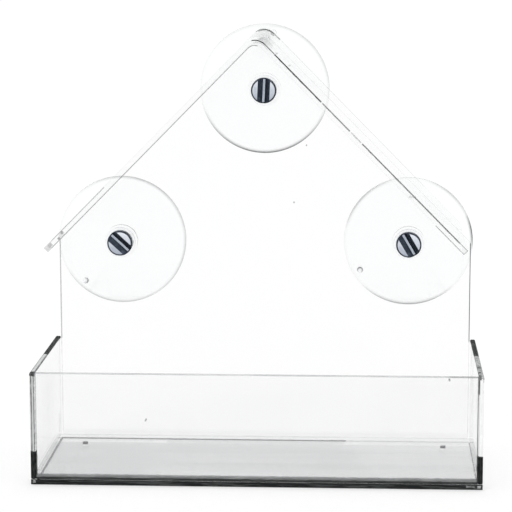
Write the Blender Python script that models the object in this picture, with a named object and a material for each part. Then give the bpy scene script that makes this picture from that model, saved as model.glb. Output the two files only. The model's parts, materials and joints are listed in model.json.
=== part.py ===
"""Clear acrylic window bird feeder.

A house-shaped back panel carries a bent roof and an open seed tray, all solvent-welded
from clear sheet. Three clear suction cups sit behind the panel. The neck of each cup
passes through the panel, holds a threaded insert, and is clamped by a slotted screw on
a clear washer. Metres, +Z up, +X to the right, and the window glass lies towards +Y.
The origin is on the table, under the middle of the whole feeder.
"""

import math

import bmesh
import bpy
from mathutils import Matrix, Vector

# Clear sheet: the panel and the tray are cut from one gauge, the roof from another.
SHEET = 0.0018
ROOF_SHEET = 0.0020
ARRIS = 0.0002

# Clearances between neighbouring pieces, and how far a cutter runs past what it cuts.
SEAM_GAP = 0.0003
SEAT_GAP = 0.0003
RUNNING_GAP = 0.0003
OVERRUN = 0.0010
MERGE_DISTANCE = 0.000001

# Back panel, with heights above the table.
PANEL_WIDTH = 0.150
SHOULDER_HEIGHT = 0.075
APEX_HEIGHT = 0.151

# Seed tray, measured forward from the panel's front face.
TRAY_DEPTH = 0.062
TRAY_HEIGHT = 0.039
DRAIN_DIAMETER = 0.0020
DRAIN_SIDE_INSET = 0.0095
DRAIN_SETBACK = 0.0080

# Roof, whose rear edge is flush with the panel's rear face.
ROOF_DEPTH = 0.066
ROOF_BEND_RADIUS = 0.0030
EAVE_SETBACK = 0.0055

# Where the suction cups sit on the panel.
SIDE_CUP_INSET = 0.0225
SIDE_CUP_HEIGHT = 0.0745
TOP_CUP_DROP = 0.0208

# Suction cup, whose height follows from the insert that it holds.
CUP_DIAMETER = 0.047
CUP_LIP_THICKNESS = 0.0008
CUP_LIP_WIDTH = 0.0014
CUP_RECESS = 0.0018
CUP_SKIN = 0.0010
CUP_SWEEP = 1.6
COLLAR_DIAMETER = 0.0120
COLLAR_HEIGHT = 0.0012
NECK_WALL = 0.0007
NECK_TIP_RECESS = 0.0003
GATE_STUB_DIAMETER = 0.0022
GATE_STUB_HEIGHT = 0.0009
GATE_STUB_INSET = 0.0030

# Threaded insert, and the screw and washer that clamp the cup.
INSERT_LENGTH = 0.0035
INSERT_WALL = 0.0007
INSERT_GROOVE_DEPTH = 0.0003
INSERT_GROOVE_WIDTH = 0.0010
SHANK_DIAMETER = 0.0039
SHANK_TIP_CHAMFER = 0.0004
SHANK_END_SETBACK = 0.0002
HEAD_DIAMETER = 0.0092
HEAD_HEIGHT = 0.0022
HEAD_RIM_RADIUS = 0.0005
SLOT_TOP_WIDTH = 0.0044
SLOT_FLOOR_WIDTH = 0.0008
SLOT_DEPTH = 0.0014
WASHER_DIAMETER = 0.0110
WASHER_THICKNESS = 0.0006

# Facet counts of the round forms.
CUP_SIDES = 40
SMALL_SIDES = 32
DRAIN_SIDES = 16
BEND_STEPS = 8
FILLET_STEPS = 3
CUP_DOME_STEPS = 6

# Each cup's place on the panel, in turns of the screw's slot and of the moulding stub,
# both in degrees from the right-hand side as seen from the front.
SLOT_ANGLES = {"top": 87.5, "left": 137.5, "right": 120.5}
STUB_ANGLES = {"top": 81, "left": 228, "right": 211}

# Sizes that follow from the ones above, in the panel's own frame: the front face of the
# panel is at y = 0 there, and everything behind it has a positive y.
HALF_PANEL = PANEL_WIDTH / 2
SLOPE = math.atan2(APEX_HEIGHT - SHOULDER_HEIGHT, HALF_PANEL)
FLOOR_TOP = SHEET + SEAM_GAP
SIDE_INNER = HALF_PANEL + SEAM_GAP
SIDE_OUTER = SIDE_INNER + SHEET
ROOF_FRONT = ROOF_DEPTH - SHEET

SHANK_RADIUS = SHANK_DIAMETER / 2
INSERT_BORE_RADIUS = SHANK_RADIUS + RUNNING_GAP
INSERT_RADIUS = INSERT_BORE_RADIUS + INSERT_WALL
NECK_BORE_RADIUS = INSERT_RADIUS + SEAT_GAP
NECK_RADIUS = NECK_BORE_RADIUS + NECK_WALL
NECK_HOLE_RADIUS = NECK_RADIUS + RUNNING_GAP

CUP_SEAT = SHEET + SEAT_GAP
NECK_TIP = NECK_TIP_RECESS
INSERT_END = NECK_TIP + INSERT_LENGTH
CUP_CENTRE_BACK = INSERT_END + SEAT_GAP + CUP_SKIN
LIP_PLANE = CUP_CENTRE_BACK + CUP_RECESS
CUP_RADIUS = CUP_DIAMETER / 2
COLLAR_RADIUS = COLLAR_DIAMETER / 2
COLLAR_BACK = CUP_SEAT + COLLAR_HEIGHT

WASHER_BACK = -SEAT_GAP
WASHER_FRONT = WASHER_BACK - WASHER_THICKNESS
HEAD_BACK = WASHER_FRONT - SEAT_GAP
HEAD_FRONT = HEAD_BACK - HEAD_HEIGHT
SHANK_END = INSERT_END - SHANK_END_SETBACK

# The panel's front face lies here, so that the origin is midway between the roof's front
# edge and the cups' lips.
PANEL_Y = (ROOF_FRONT - LIP_PLANE) / 2


def clear_scene():
    """Removes the objects of the opening scene."""
    for obj in list(bpy.data.objects):
        bpy.data.objects.remove(obj, do_unlink=True)


def make_material(name, colour, roughness, metallic=0.0, transmission=0.0, ior=1.5):
    """Returns a plain Principled material."""
    material = bpy.data.materials.new(name)
    material.use_nodes = True
    shader = material.node_tree.nodes["Principled BSDF"]
    shader.inputs["Base Color"].default_value = (*colour, 1)
    shader.inputs["Roughness"].default_value = roughness
    shader.inputs["Metallic"].default_value = metallic
    shader.inputs["Transmission Weight"].default_value = transmission
    shader.inputs["IOR"].default_value = ior
    material.diffuse_color = (*colour, 1)
    return material


def acrylic(piece):
    """Clear cast acrylic sheet with sawn and flame-polished edges."""
    return make_material(f"acrylic_{piece}", (0.95, 0.97, 0.97), 0.03, transmission=1.0, ior=1.49)


def soft_pvc(piece):
    """Clear soft PVC of the cups and washers."""
    return make_material(f"pvc_{piece}", (0.93, 0.95, 0.96), 0.12, transmission=1.0, ior=1.53)


def nickel_steel(piece):
    """Bright nickel-plated steel."""
    return make_material(f"steel_{piece}", (0.66, 0.69, 0.76), 0.22, metallic=1.0)


def add_object(name, mesh_data, parent, material, location=(0, 0, 0)):
    """Turns a bmesh into a named object under its parent."""
    bmesh.ops.recalc_face_normals(mesh_data, faces=mesh_data.faces)
    mesh = bpy.data.meshes.new(name)
    mesh_data.to_mesh(mesh)
    mesh_data.free()
    mesh.materials.append(material)
    obj = bpy.data.objects.new(name, mesh)
    obj.location = location
    obj.parent = parent
    bpy.context.collection.objects.link(obj)
    return obj


def shade_round(obj, sharp_angle=math.radians(35)):
    """Shades a turned piece smooth between its sharp edges."""
    obj.data.shade_smooth()
    obj.data.set_sharp_from_angle(angle=sharp_angle)


def box_sheet(low, high):
    """Returns a flat sheet between two corners, with its arrises taken off."""
    low = Vector(low)
    high = Vector(high)
    sheet = bmesh.new()
    place = Matrix.Translation((low + high) / 2) @ Matrix.Diagonal((*(high - low), 1))
    bmesh.ops.create_cube(sheet, size=1, matrix=place)
    take_off_arrises(sheet)
    return sheet


def take_off_arrises(sheet):
    """Bevels every edge where two faces meet at a clear angle."""
    sharp = [edge for edge in sheet.edges if edge.calc_face_angle(0) > math.radians(30)]
    bmesh.ops.bevel(sheet, geom=sharp, offset=ARRIS, offset_type="OFFSET", segments=1,
                    profile=0.5, affect="EDGES", clamp_overlap=True)


def extrude_outline(outline, start, end):
    """Returns the solid of an XZ outline between two places along Y."""
    solid = bmesh.new()
    face = solid.faces.new([solid.verts.new((x, start, z)) for x, z in outline])
    grown = bmesh.ops.extrude_face_region(solid, geom=[face])
    moved = [item for item in grown["geom"] if isinstance(item, bmesh.types.BMVert)]
    bmesh.ops.translate(solid, vec=(0, end - start, 0), verts=moved)
    bmesh.ops.recalc_face_normals(solid, faces=solid.faces)
    return solid


def turn_profile(profile, sides, closed=False):
    """Spins (radius, y) points about the Y axis; an open profile runs from axis to axis."""
    turned = bmesh.new()
    points = [turned.verts.new((radius, y, 0)) for radius, y in profile]
    edges = [turned.edges.new(pair) for pair in zip(points, points[1:])]
    if closed:
        edges.append(turned.edges.new((points[-1], points[0])))
    bmesh.ops.spin(turned, geom=points + edges, axis=(0, 1, 0), cent=(0, 0, 0),
                   angle=math.tau, steps=sides, use_merge=True)
    bmesh.ops.remove_doubles(turned, verts=turned.verts, dist=MERGE_DISTANCE)
    return turned


def add_cutter(name, mesh_data, target, operation="DIFFERENCE"):
    """Adds a hidden tool body and a Boolean that applies it to the target."""
    bmesh.ops.recalc_face_normals(mesh_data, faces=mesh_data.faces)
    mesh = bpy.data.meshes.new(name)
    mesh_data.to_mesh(mesh)
    mesh_data.free()
    cutter = bpy.data.objects.new(name, mesh)
    cutter.location = target.location
    cutter.parent = target.parent
    cutter.hide_render = True
    cutter.display_type = "WIRE"
    bpy.context.collection.objects.link(cutter)
    cut = target.modifiers.new(name, "BOOLEAN")
    cut.operation = operation
    cut.solver = "EXACT"
    cut.object = cutter


def rod(centre, radius, low, high, sides, axis="Y"):
    """Returns a plain rod along Y or Z; the centre's place along the rod is not used."""
    body = bmesh.new()
    x, y, z = centre
    middle = (low + high) / 2
    if axis == "Y":
        place = Matrix.Translation((x, middle, z)) @ Matrix.Rotation(math.pi / 2, 4, "X")
    else:
        place = Matrix.Translation((x, y, middle))
    bmesh.ops.create_cone(body, cap_ends=True, segments=sides, radius1=radius,
                          radius2=radius, depth=high - low, matrix=place)
    return body


def cup_places():
    """Returns each cup's (x, z) on the panel."""
    side = HALF_PANEL - SIDE_CUP_INSET
    return {
        "top": (0, APEX_HEIGHT - TOP_CUP_DROP),
        "left": (-side, SIDE_CUP_HEIGHT),
        "right": (side, SIDE_CUP_HEIGHT),
    }


def ridge_arc(radius, apex_height):
    """Rounds an upright corner: (x, z) points from the left slope to the right slope."""
    centre_height = apex_height - radius / math.cos(SLOPE)
    points = []
    for step in range(BEND_STEPS + 1):
        turn = SLOPE * (2 * step / BEND_STEPS - 1)
        points.append((radius * math.sin(turn), centre_height + radius * math.cos(turn)))
    return points


def make_back_panel(parent):
    """The house-shaped panel, with a hole for each cup's neck."""
    apex_radius = max(ROOF_BEND_RADIUS - SEAM_GAP, SEAM_GAP)
    outline = [(-HALF_PANEL, FLOOR_TOP), (-HALF_PANEL, SHOULDER_HEIGHT)]
    outline += ridge_arc(apex_radius, APEX_HEIGHT)
    outline += [(HALF_PANEL, SHOULDER_HEIGHT), (HALF_PANEL, FLOOR_TOP)]
    sheet = extrude_outline(outline, 0, SHEET)
    take_off_arrises(sheet)
    panel = add_object("back_panel", sheet, parent, acrylic("panel"))
    for name, (x, z) in cup_places().items():
        hole = rod((x, 0, z), NECK_HOLE_RADIUS, -OVERRUN, SHEET + OVERRUN, SMALL_SIDES)
        add_cutter(f"neck_hole_{name}", hole, panel)


def make_roof(parent):
    """One sheet bent along the ridge, seated on the panel's two slopes."""
    lift = SEAM_GAP / math.cos(SLOPE)
    thickness_rise = ROOF_SHEET / math.cos(SLOPE)
    inner = ridge_arc(ROOF_BEND_RADIUS, APEX_HEIGHT + lift)
    outer = ridge_arc(ROOF_BEND_RADIUS + ROOF_SHEET, APEX_HEIGHT + lift + thickness_rise)
    eave_x = HALF_PANEL - EAVE_SETBACK
    eave_z = APEX_HEIGHT + lift - eave_x * math.tan(SLOPE)
    outward = (ROOF_SHEET * math.sin(SLOPE), ROOF_SHEET * math.cos(SLOPE))
    inner = [(-eave_x, eave_z)] + inner + [(eave_x, eave_z)]
    outer = (
        [(-eave_x - outward[0], eave_z + outward[1])]
        + outer
        + [(eave_x + outward[0], eave_z + outward[1])]
    )
    solid = extrude_outline(inner + outer[::-1], -ROOF_FRONT, SHEET)
    take_off_arrises(solid)
    roof = add_object("roof", solid, parent, acrylic("roof"))
    shade_round(roof, math.radians(25))


def make_tray(parent):
    """Floor plate with two drain holes, a front and two sides that stand on it."""
    front = -TRAY_DEPTH
    plate = box_sheet((-SIDE_OUTER, front, 0), (SIDE_OUTER, SHEET, SHEET))
    floor = add_object("tray_floor", plate, parent, acrylic("floor"))
    for name, side in (("left", -1), ("right", 1)):
        place = (side * (HALF_PANEL - DRAIN_SIDE_INSET), -DRAIN_SETBACK, 0)
        drain = rod(place, DRAIN_DIAMETER / 2, -OVERRUN, SHEET + OVERRUN, DRAIN_SIDES, "Z")
        add_cutter(f"drain_hole_{name}", drain, floor)
        edges = sorted((side * SIDE_INNER, side * SIDE_OUTER))
        wall = box_sheet((edges[0], front, FLOOR_TOP), (edges[1], SHEET, TRAY_HEIGHT))
        add_object(f"tray_side_{name}", wall, parent, acrylic(f"side_{name}"))
    panel = box_sheet((-HALF_PANEL, front, FLOOR_TOP), (HALF_PANEL, front + SHEET, TRAY_HEIGHT))
    add_object("tray_front", panel, parent, acrylic("front"))


def cup_front_y(radius):
    """Where the cup's front skin lies at a distance from its axis."""
    share = (radius - COLLAR_RADIUS) / (CUP_RADIUS - COLLAR_RADIUS)
    return COLLAR_BACK + (LIP_PLANE - CUP_LIP_THICKNESS - COLLAR_BACK) * share ** CUP_SWEEP


def cup_profile():
    """Half section of a cup: neck bore, neck, collar, dome, lip and hollow back."""
    hollow_radius = CUP_RADIUS - CUP_LIP_WIDTH
    points = [
        (0, INSERT_END + SEAT_GAP),
        (NECK_BORE_RADIUS, INSERT_END + SEAT_GAP),
        (NECK_BORE_RADIUS, NECK_TIP),
        (NECK_RADIUS, NECK_TIP),
        (NECK_RADIUS, CUP_SEAT),
        (COLLAR_RADIUS, CUP_SEAT),
    ]
    for step in range(CUP_DOME_STEPS + 1):
        radius = COLLAR_RADIUS + (CUP_RADIUS - COLLAR_RADIUS) * step / CUP_DOME_STEPS
        points.append((radius, cup_front_y(radius)))
    points.append((CUP_RADIUS, LIP_PLANE))
    for step in range(CUP_DOME_STEPS):
        share = 1 - step / CUP_DOME_STEPS
        points.append((hollow_radius * share, CUP_CENTRE_BACK + CUP_RECESS * share ** CUP_SWEEP))
    points.append((0, CUP_CENTRE_BACK))
    return points


def make_cup(name, parent, location):
    """Clear cup with the stub that its moulding gate left near the lip."""
    cup = add_object(f"suction_cup_{name}", turn_profile(cup_profile(), CUP_SIDES), parent,
                     soft_pvc(f"cup_{name}"), location)
    shade_round(cup)
    reach = CUP_RADIUS - GATE_STUB_INSET
    turn = math.radians(STUB_ANGLES[name])
    foot = cup_front_y(reach)
    stub = rod((reach * math.cos(turn), 0, reach * math.sin(turn)), GATE_STUB_DIAMETER / 2,
               foot - GATE_STUB_HEIGHT, foot + CUP_LIP_THICKNESS / 2, DRAIN_SIDES)
    add_cutter(f"gate_stub_{name}", stub, cup, "UNION")


def make_insert(name, parent, location):
    """Grooved threaded insert in the cup's neck."""
    groove_radius = INSERT_RADIUS - INSERT_GROOVE_DEPTH
    middle = (NECK_TIP + INSERT_END) / 2
    groove = (middle - INSERT_GROOVE_WIDTH / 2, middle + INSERT_GROOVE_WIDTH / 2)
    profile = [
        (INSERT_BORE_RADIUS, NECK_TIP),
        (INSERT_RADIUS, NECK_TIP),
        (INSERT_RADIUS, groove[0]),
        (groove_radius, groove[0]),
        (groove_radius, groove[1]),
        (INSERT_RADIUS, groove[1]),
        (INSERT_RADIUS, INSERT_END),
        (INSERT_BORE_RADIUS, INSERT_END),
    ]
    insert = add_object(f"threaded_insert_{name}", turn_profile(profile, SMALL_SIDES, True),
                        parent, nickel_steel(f"insert_{name}"), location)
    shade_round(insert)


def make_washer(name, parent, location):
    """Flat clear washer between the screw's head and the panel."""
    inner = SHANK_RADIUS + RUNNING_GAP
    outer = WASHER_DIAMETER / 2
    chamfer = min(ARRIS, WASHER_THICKNESS / 4)
    profile = [
        (inner, WASHER_BACK),
        (inner, WASHER_FRONT),
        (outer - chamfer, WASHER_FRONT),
        (outer, WASHER_FRONT + chamfer),
        (outer, WASHER_BACK),
    ]
    washer = add_object(f"washer_{name}", turn_profile(profile, SMALL_SIDES, True), parent,
                        soft_pvc(f"washer_{name}"), location)
    shade_round(washer)


def screw_profile():
    """Half section of the screw: flat head with a rounded rim, then a plain shank."""
    radius = HEAD_DIAMETER / 2
    rim = min(HEAD_RIM_RADIUS, HEAD_HEIGHT / 2)
    points = [(0, HEAD_FRONT)]
    for step in range(FILLET_STEPS + 1):
        turn = math.pi / 2 * step / FILLET_STEPS
        points.append((radius - rim + rim * math.sin(turn), HEAD_FRONT + rim - rim * math.cos(turn)))
    points += [
        (radius, HEAD_BACK),
        (SHANK_RADIUS, HEAD_BACK),
        (SHANK_RADIUS, SHANK_END - SHANK_TIP_CHAMFER),
        (SHANK_RADIUS - SHANK_TIP_CHAMFER, SHANK_END),
        (0, SHANK_END),
    ]
    return points


def slot_cutter(angle):
    """A wedge across the head, wider at its mouth than at its floor."""
    draft = (SLOT_TOP_WIDTH - SLOT_FLOOR_WIDTH) / 2 / SLOT_DEPTH
    mouth_half = SLOT_TOP_WIDTH / 2 + draft * OVERRUN
    floor_half = SLOT_FLOOR_WIDTH / 2
    reach = HEAD_DIAMETER / 2 + OVERRUN
    mouth_y = HEAD_FRONT - OVERRUN
    floor_y = HEAD_FRONT + SLOT_DEPTH
    wedge = bmesh.new()
    section = [(-mouth_half, mouth_y), (mouth_half, mouth_y), (floor_half, floor_y), (-floor_half, floor_y)]
    face = wedge.faces.new([wedge.verts.new((-reach, y, z)) for z, y in section])
    grown = bmesh.ops.extrude_face_region(wedge, geom=[face])
    moved = [item for item in grown["geom"] if isinstance(item, bmesh.types.BMVert)]
    bmesh.ops.translate(wedge, vec=(2 * reach, 0, 0), verts=moved)
    bmesh.ops.rotate(wedge, cent=(0, 0, 0), matrix=Matrix.Rotation(-math.radians(angle), 3, "Y"),
                     verts=wedge.verts)
    return wedge


def make_screw(name, parent, location):
    """Slotted screw, each left at the angle that it was tightened to."""
    screw = add_object(f"screw_{name}", turn_profile(screw_profile(), SMALL_SIDES), parent,
                       nickel_steel(f"screw_{name}"), location)
    shade_round(screw)
    add_cutter(f"screw_slot_{name}", slot_cutter(SLOT_ANGLES[name]), screw)


def main():
    """Builds the feeder around an empty on the panel's front face."""
    clear_scene()
    datum = bpy.data.objects.new("panel_front_datum", None)
    datum.location = (0, PANEL_Y, 0)
    bpy.context.collection.objects.link(datum)
    make_back_panel(datum)
    make_roof(datum)
    make_tray(datum)
    for name, (x, z) in cup_places().items():
        location = (x, 0, z)
        make_cup(name, datum, location)
        make_insert(name, datum, location)
        make_washer(name, datum, location)
        make_screw(name, datum, location)


main()
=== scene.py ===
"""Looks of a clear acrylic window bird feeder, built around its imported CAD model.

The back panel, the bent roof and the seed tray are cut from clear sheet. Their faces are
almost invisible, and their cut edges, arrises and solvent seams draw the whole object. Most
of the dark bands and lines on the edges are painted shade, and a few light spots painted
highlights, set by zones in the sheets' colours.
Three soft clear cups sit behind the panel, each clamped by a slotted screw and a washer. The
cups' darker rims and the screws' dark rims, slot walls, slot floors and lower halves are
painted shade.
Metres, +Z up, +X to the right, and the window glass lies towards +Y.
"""

import json
import logging
import math
from dataclasses import dataclass
from enum import Enum, IntEnum
from typing import Callable, Iterable, Optional, Sequence, Union

import bmesh
import bpy
from mathutils import Matrix, Vector


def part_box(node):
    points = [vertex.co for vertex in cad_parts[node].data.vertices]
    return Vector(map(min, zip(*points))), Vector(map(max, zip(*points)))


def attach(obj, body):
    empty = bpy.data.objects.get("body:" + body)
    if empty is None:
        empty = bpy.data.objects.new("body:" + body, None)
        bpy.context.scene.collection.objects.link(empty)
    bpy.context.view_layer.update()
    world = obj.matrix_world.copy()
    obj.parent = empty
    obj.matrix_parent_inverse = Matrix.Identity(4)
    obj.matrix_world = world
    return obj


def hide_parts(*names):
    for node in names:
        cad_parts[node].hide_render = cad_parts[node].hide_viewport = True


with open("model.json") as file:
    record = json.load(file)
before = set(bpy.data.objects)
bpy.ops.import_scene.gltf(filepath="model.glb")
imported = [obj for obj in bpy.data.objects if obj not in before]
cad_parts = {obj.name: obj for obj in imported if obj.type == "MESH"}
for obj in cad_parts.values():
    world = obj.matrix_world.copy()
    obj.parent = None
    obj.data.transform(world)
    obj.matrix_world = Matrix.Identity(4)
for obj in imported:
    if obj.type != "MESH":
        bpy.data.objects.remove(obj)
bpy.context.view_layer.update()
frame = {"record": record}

LOG = logging.getLogger("bird_feeder")

Colour = tuple[float, float, float]
Place = tuple[float, float, float]
Spot = tuple[float, float, float]
Flat = tuple[float, float]
Shape = bmesh.types.BMesh
Material = bpy.types.Material
Node = bpy.types.Node
Socket = bpy.types.NodeSocket
Feed = Union[Socket, float, Sequence[float]]

MERGE_DISTANCE = 1e-6
WELD = 0.00002
SMOOTH_ANGLE = math.radians(32)
SHARP_ANGLE = math.radians(30)
FLAT_ANGLE = math.radians(0.5)
FLAT_NORMAL = 0.99
END_NORMAL = 0.5
HOLE_SIDES = 48
ARRIS_STEPS = 2
FAR = 1.0
EVERYWHERE = (-FAR, FAR)
ORIGIN: Place = (0.0, 0.0, 0.0)
WHITE: Colour = (1.0, 1.0, 1.0)
ACRYLIC_IOR = 1.49
VINYL_IOR = 1.53
TURNED = "turned"
# rim_share carries the painted shade on the rims of the cups, their stubs and the washers; along a cup's rim
# it is never below FAINT_RIM.
RIM_SHARE = "rim_share"
# low_share carries the painted shade on the lower half of a screw head.
LOW_SHARE = "low_share"
FAINT_RIM = 0.06


class Zone(IntEnum):
    """Material slots of a clear sheet."""

    FACE = 0
    CUT = 1
    ARRIS = 2


class MetalZone(IntEnum):
    """Material slots of a screw."""

    # RIM, WALL and GROOVE take painted shade: darker copies of the head's plating.
    FLAT = 0
    RIM = 1
    WALL = 2
    GROOVE = 3


class Axis(Enum):
    """The direction in which a sheet is thin."""

    X = 0
    Y = 1
    Z = 2

    def place(self, u: float, v: float, depth: float) -> Vector:
        """Returns the point of the sheet's own (u, v) at a depth along this axis."""
        point = [u, v]
        point.insert(self.value, depth)
        return Vector(point)

    def unit(self) -> Vector:
        """Returns the unit vector along this axis."""
        return self.place(0.0, 0.0, 1.0)


@dataclass(frozen=True)
class RimArc:
    """A stretch of a cup's rim that the light draws darker.

    Args:
        middle: Angle of its middle from +X, seen from the front, in degrees.
        half: Half its length in degrees, over which it fades out.
        share: How dark its middle is, from 0 to 1.
    """

    middle: float
    half: float
    share: float

    def at(self, angle: float) -> float:
        """Returns the darkness at an angle."""
        away = abs((angle - self.middle + 180) % 360 - 180) / self.half
        return self.share * max(0.0, 1 - away * away)


@dataclass(frozen=True)
class Station:
    """One suction cup with its screw.

    Args:
        name: The place's name in the CAD nodes.
        slot_turn: Angle of the screw's slot from +X, seen from the front, in degrees.
        stub_turn: Angle of the cup's gate stub, in degrees.
        stub_arc: The stretch of the stub's rim that takes painted shade.
        arcs: The stretches of the cup's rim that take painted shade.
    """

    name: str
    slot_turn: float
    stub_turn: float
    stub_arc: RimArc
    arcs: tuple[RimArc, ...]

    def centre(self) -> Flat:
        """Returns the (x, z) of the cup's axis, from its CAD node."""
        low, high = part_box(f"threaded_insert_{self.name}")
        return (low.x + high.x) / 2, (low.z + high.z) / 2

    def rim_share(self, angle: float) -> float:
        """Returns the painted shade of the cup's rim at an angle."""
        return max([FAINT_RIM] + [arc.at(angle) for arc in self.arcs])


STATIONS = (
    Station("top", 87.5, 81.0, RimArc(238.0, 90.0, 1.0),
            (RimArc(272.0, 78.0, 1.0), RimArc(40.0, 60.0, 0.34), RimArc(116.0, 34.0, 0.16))),
    Station("left", 137.5, 228.0, RimArc(350.0, 130.0, 1.0),
            (RimArc(60.0, 80.0, 0.52), RimArc(340.0, 60.0, 0.42), RimArc(262.0, 62.0, 0.45))),
    Station("right", 120.5, 211.0, RimArc(80.0, 170.0, 1.0),
            (RimArc(137.0, 34.0, 0.62), RimArc(270.0, 48.0, 0.70), RimArc(46.0, 30.0, 0.50),
             RimArc(10.0, 20.0, 1.0))),
)


# Node trees


class Tree:
    """Adds and joins the nodes of one shader tree."""

    def __init__(self, tree: bpy.types.NodeTree) -> None:
        """Keeps the tree that the nodes go into."""
        self.tree = tree

    def fill(self, node: Node, feeds: dict[Union[str, int], Feed]) -> None:
        """Links inputs of a node to sockets, or sets plain values on them.

        Args:
            node: The node.
            feeds: Sockets or values by input name or number.
        """
        for name, value in feeds.items():
            socket = node.inputs[name]
            if isinstance(value, bpy.types.NodeSocket):
                self.tree.links.new(value, socket)
            elif socket.type == "RGBA" and len(value) == 3:
                socket.default_value = (*value, 1.0)
            else:
                socket.default_value = value

    def add(self, kind: str, feeds: Optional[dict] = None, **settings: object) -> Node:
        """Adds a node.

        Args:
            kind: The node's Blender type without its ShaderNode ahead, or a group end's full type.
            feeds: Sockets or values by input name or number.
            settings: Properties of the node itself.

        Returns:
            The new node.
        """
        node = self.tree.nodes.new(kind if kind.startswith("Node") else "ShaderNode" + kind)
        for name, value in settings.items():
            setattr(node, name, value)
        self.fill(node, feeds or {})
        return node

    def maths(self, operation: str, first: Feed, second: Feed = 0.0, clamp: bool = False) -> Socket:
        """Returns the result of one Math node."""
        return self.add("Math", {0: first, 1: second}, operation=operation, use_clamp=clamp).outputs[0]

    def times(self, first: Feed, second: Feed, clamp: bool = False) -> Socket:
        """Returns the product of two numbers."""
        return self.maths("MULTIPLY", first, second, clamp)

    def vector(self, operation: str, first: Feed, second: Feed = ORIGIN) -> Socket:
        """Returns the result of one Vector Math node."""
        return self.add("VectorMath", {0: first, 1: second}, operation=operation).outputs[0]

    def blend(self, share: Feed, first: Feed, second: Feed) -> Socket:
        """Returns a colour that goes from first to second as share goes from 0 to 1."""
        return self.add("Mix", {"Factor": share, 6: first, 7: second}, data_type="RGBA",
                        clamp_factor=True).outputs[2]

    def level(self, share: Feed, first: Feed, second: Feed) -> Socket:
        """Returns a number that goes from first to second as share goes from 0 to 1."""
        return self.add("Mix", {"Factor": share, 2: first, 3: second}, data_type="FLOAT",
                        clamp_factor=True).outputs[0]

    def ramp(self, value: Feed, start: Feed, end: Feed) -> Socket:
        """Returns a smooth step from 0 at start to 1 at end."""
        return self.add("MapRange", {"Value": value, "From Min": start, "From Max": end},
                        interpolation_type="SMOOTHSTEP", clamp=True).outputs["Result"]

    def stretch(self, vector: Socket, scale: Place) -> Socket:
        """Returns a vector scaled on its axes."""
        return self.add("Mapping", {"Vector": vector, "Scale": scale}, vector_type="POINT").outputs["Vector"]

    def noise(self, vector: Socket, scale: Feed, detail: float = 3.0, rough: float = 0.5,
              warp: float = 0.0) -> Socket:
        """Returns the value of a Noise texture."""
        return self.add("TexNoise", {"Vector": vector, "Scale": scale, "Detail": detail,
                                     "Roughness": rough, "Distortion": warp}).outputs["Fac"]

    def attribute(self, name: str, output: str) -> Socket:
        """Returns one output of a mesh attribute."""
        return self.add("Attribute", attribute_name=name, attribute_type="GEOMETRY").outputs[output]

    def bump(self, height: Socket, strength: float, distance: float) -> Socket:
        """Returns the normal that a height gives."""
        return self.add("Bump", {"Height": height, "Strength": strength,
                                 "Distance": distance}).outputs["Normal"]


class EffectGroup:
    """A shader node group that is built once and shared by the materials."""

    def __init__(self, name: str, inputs: dict[str, Feed], outputs: Sequence[str],
                 wire: Callable[[Tree, bpy.types.NodeOutputs], dict[str, Socket]]) -> None:
        """Keeps what the group takes and gives, and how it is wired.

        Args:
            name: The group's name.
            inputs: Start values by input name; a triple makes a vector input.
            outputs: Names of its outputs, each a number.
            wire: Function that wires the group and returns its results by output name.
        """
        self.name, self.inputs, self.outputs, self.wire = name, inputs, outputs, wire
        self.made: Optional[bpy.types.NodeTree] = None

    def make(self) -> bpy.types.NodeTree:
        """Returns the node group, and builds it the first time."""
        if self.made is None:
            self.made = bpy.data.node_groups.new(self.name, "ShaderNodeTree")
            add_socket = self.made.interface.new_socket
            for name, value in self.inputs.items():
                kind = "NodeSocketVector" if isinstance(value, tuple) else "NodeSocketFloat"
                add_socket(name=name, in_out="INPUT", socket_type=kind).default_value = value
            for name in self.outputs:
                add_socket(name=name, in_out="OUTPUT", socket_type="NodeSocketFloat")
            tree = Tree(self.made)
            results = self.wire(tree, tree.add("NodeGroupInput").outputs)
            tree.fill(tree.add("NodeGroupOutput"), results)
        return self.made

    def put(self, tree: Tree, **feeds: Feed) -> bpy.types.NodeOutputs:
        """Places the group in a material with its own values.

        Args:
            tree: The material's tree.
            feeds: Sockets or values by input name, in small letters and with _ for a space.

        Returns:
            The outputs of the placed group.
        """
        named = {name.replace("_", " ").title(): value for name, value in feeds.items()}
        return tree.add("Group", named, node_tree=self.make()).outputs


def wire_handling_marks(tree: Tree, given: bpy.types.NodeOutputs) -> dict[str, Socket]:
    """Wipe marks, hairline scratches and dust on a polished face."""
    place, size = given["Vector"], given["Scale"]
    smear = tree.ramp(tree.noise(place, size, 3.0, 0.55, 0.6), 0.48, 0.78)
    along = tree.stretch(place, (0.12, 1.0, 1.0))
    hairs = tree.ramp(tree.noise(along, tree.times(size, 34.0), 2.0, 0.7), 0.68, 0.76)
    where = tree.ramp(tree.noise(place, tree.times(size, 1.7), 1.0), 0.52, 0.62)
    scratch_and_shade = tree.times(hairs, where)
    cells = tree.add("TexVoronoi", {"Vector": place, "Scale": given["Dust Scale"]}).outputs
    near = tree.ramp(cells["Distance"], 0.045, 0.02)
    pick = tree.add("SeparateColor", {0: cells["Color"]}).outputs[0]
    dust = tree.times(near, tree.maths("GREATER_THAN", pick, 0.96))
    return {"Smear": smear, "Dust": dust, "Height": tree.maths("SUBTRACT", smear, scratch_and_shade)}


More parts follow.
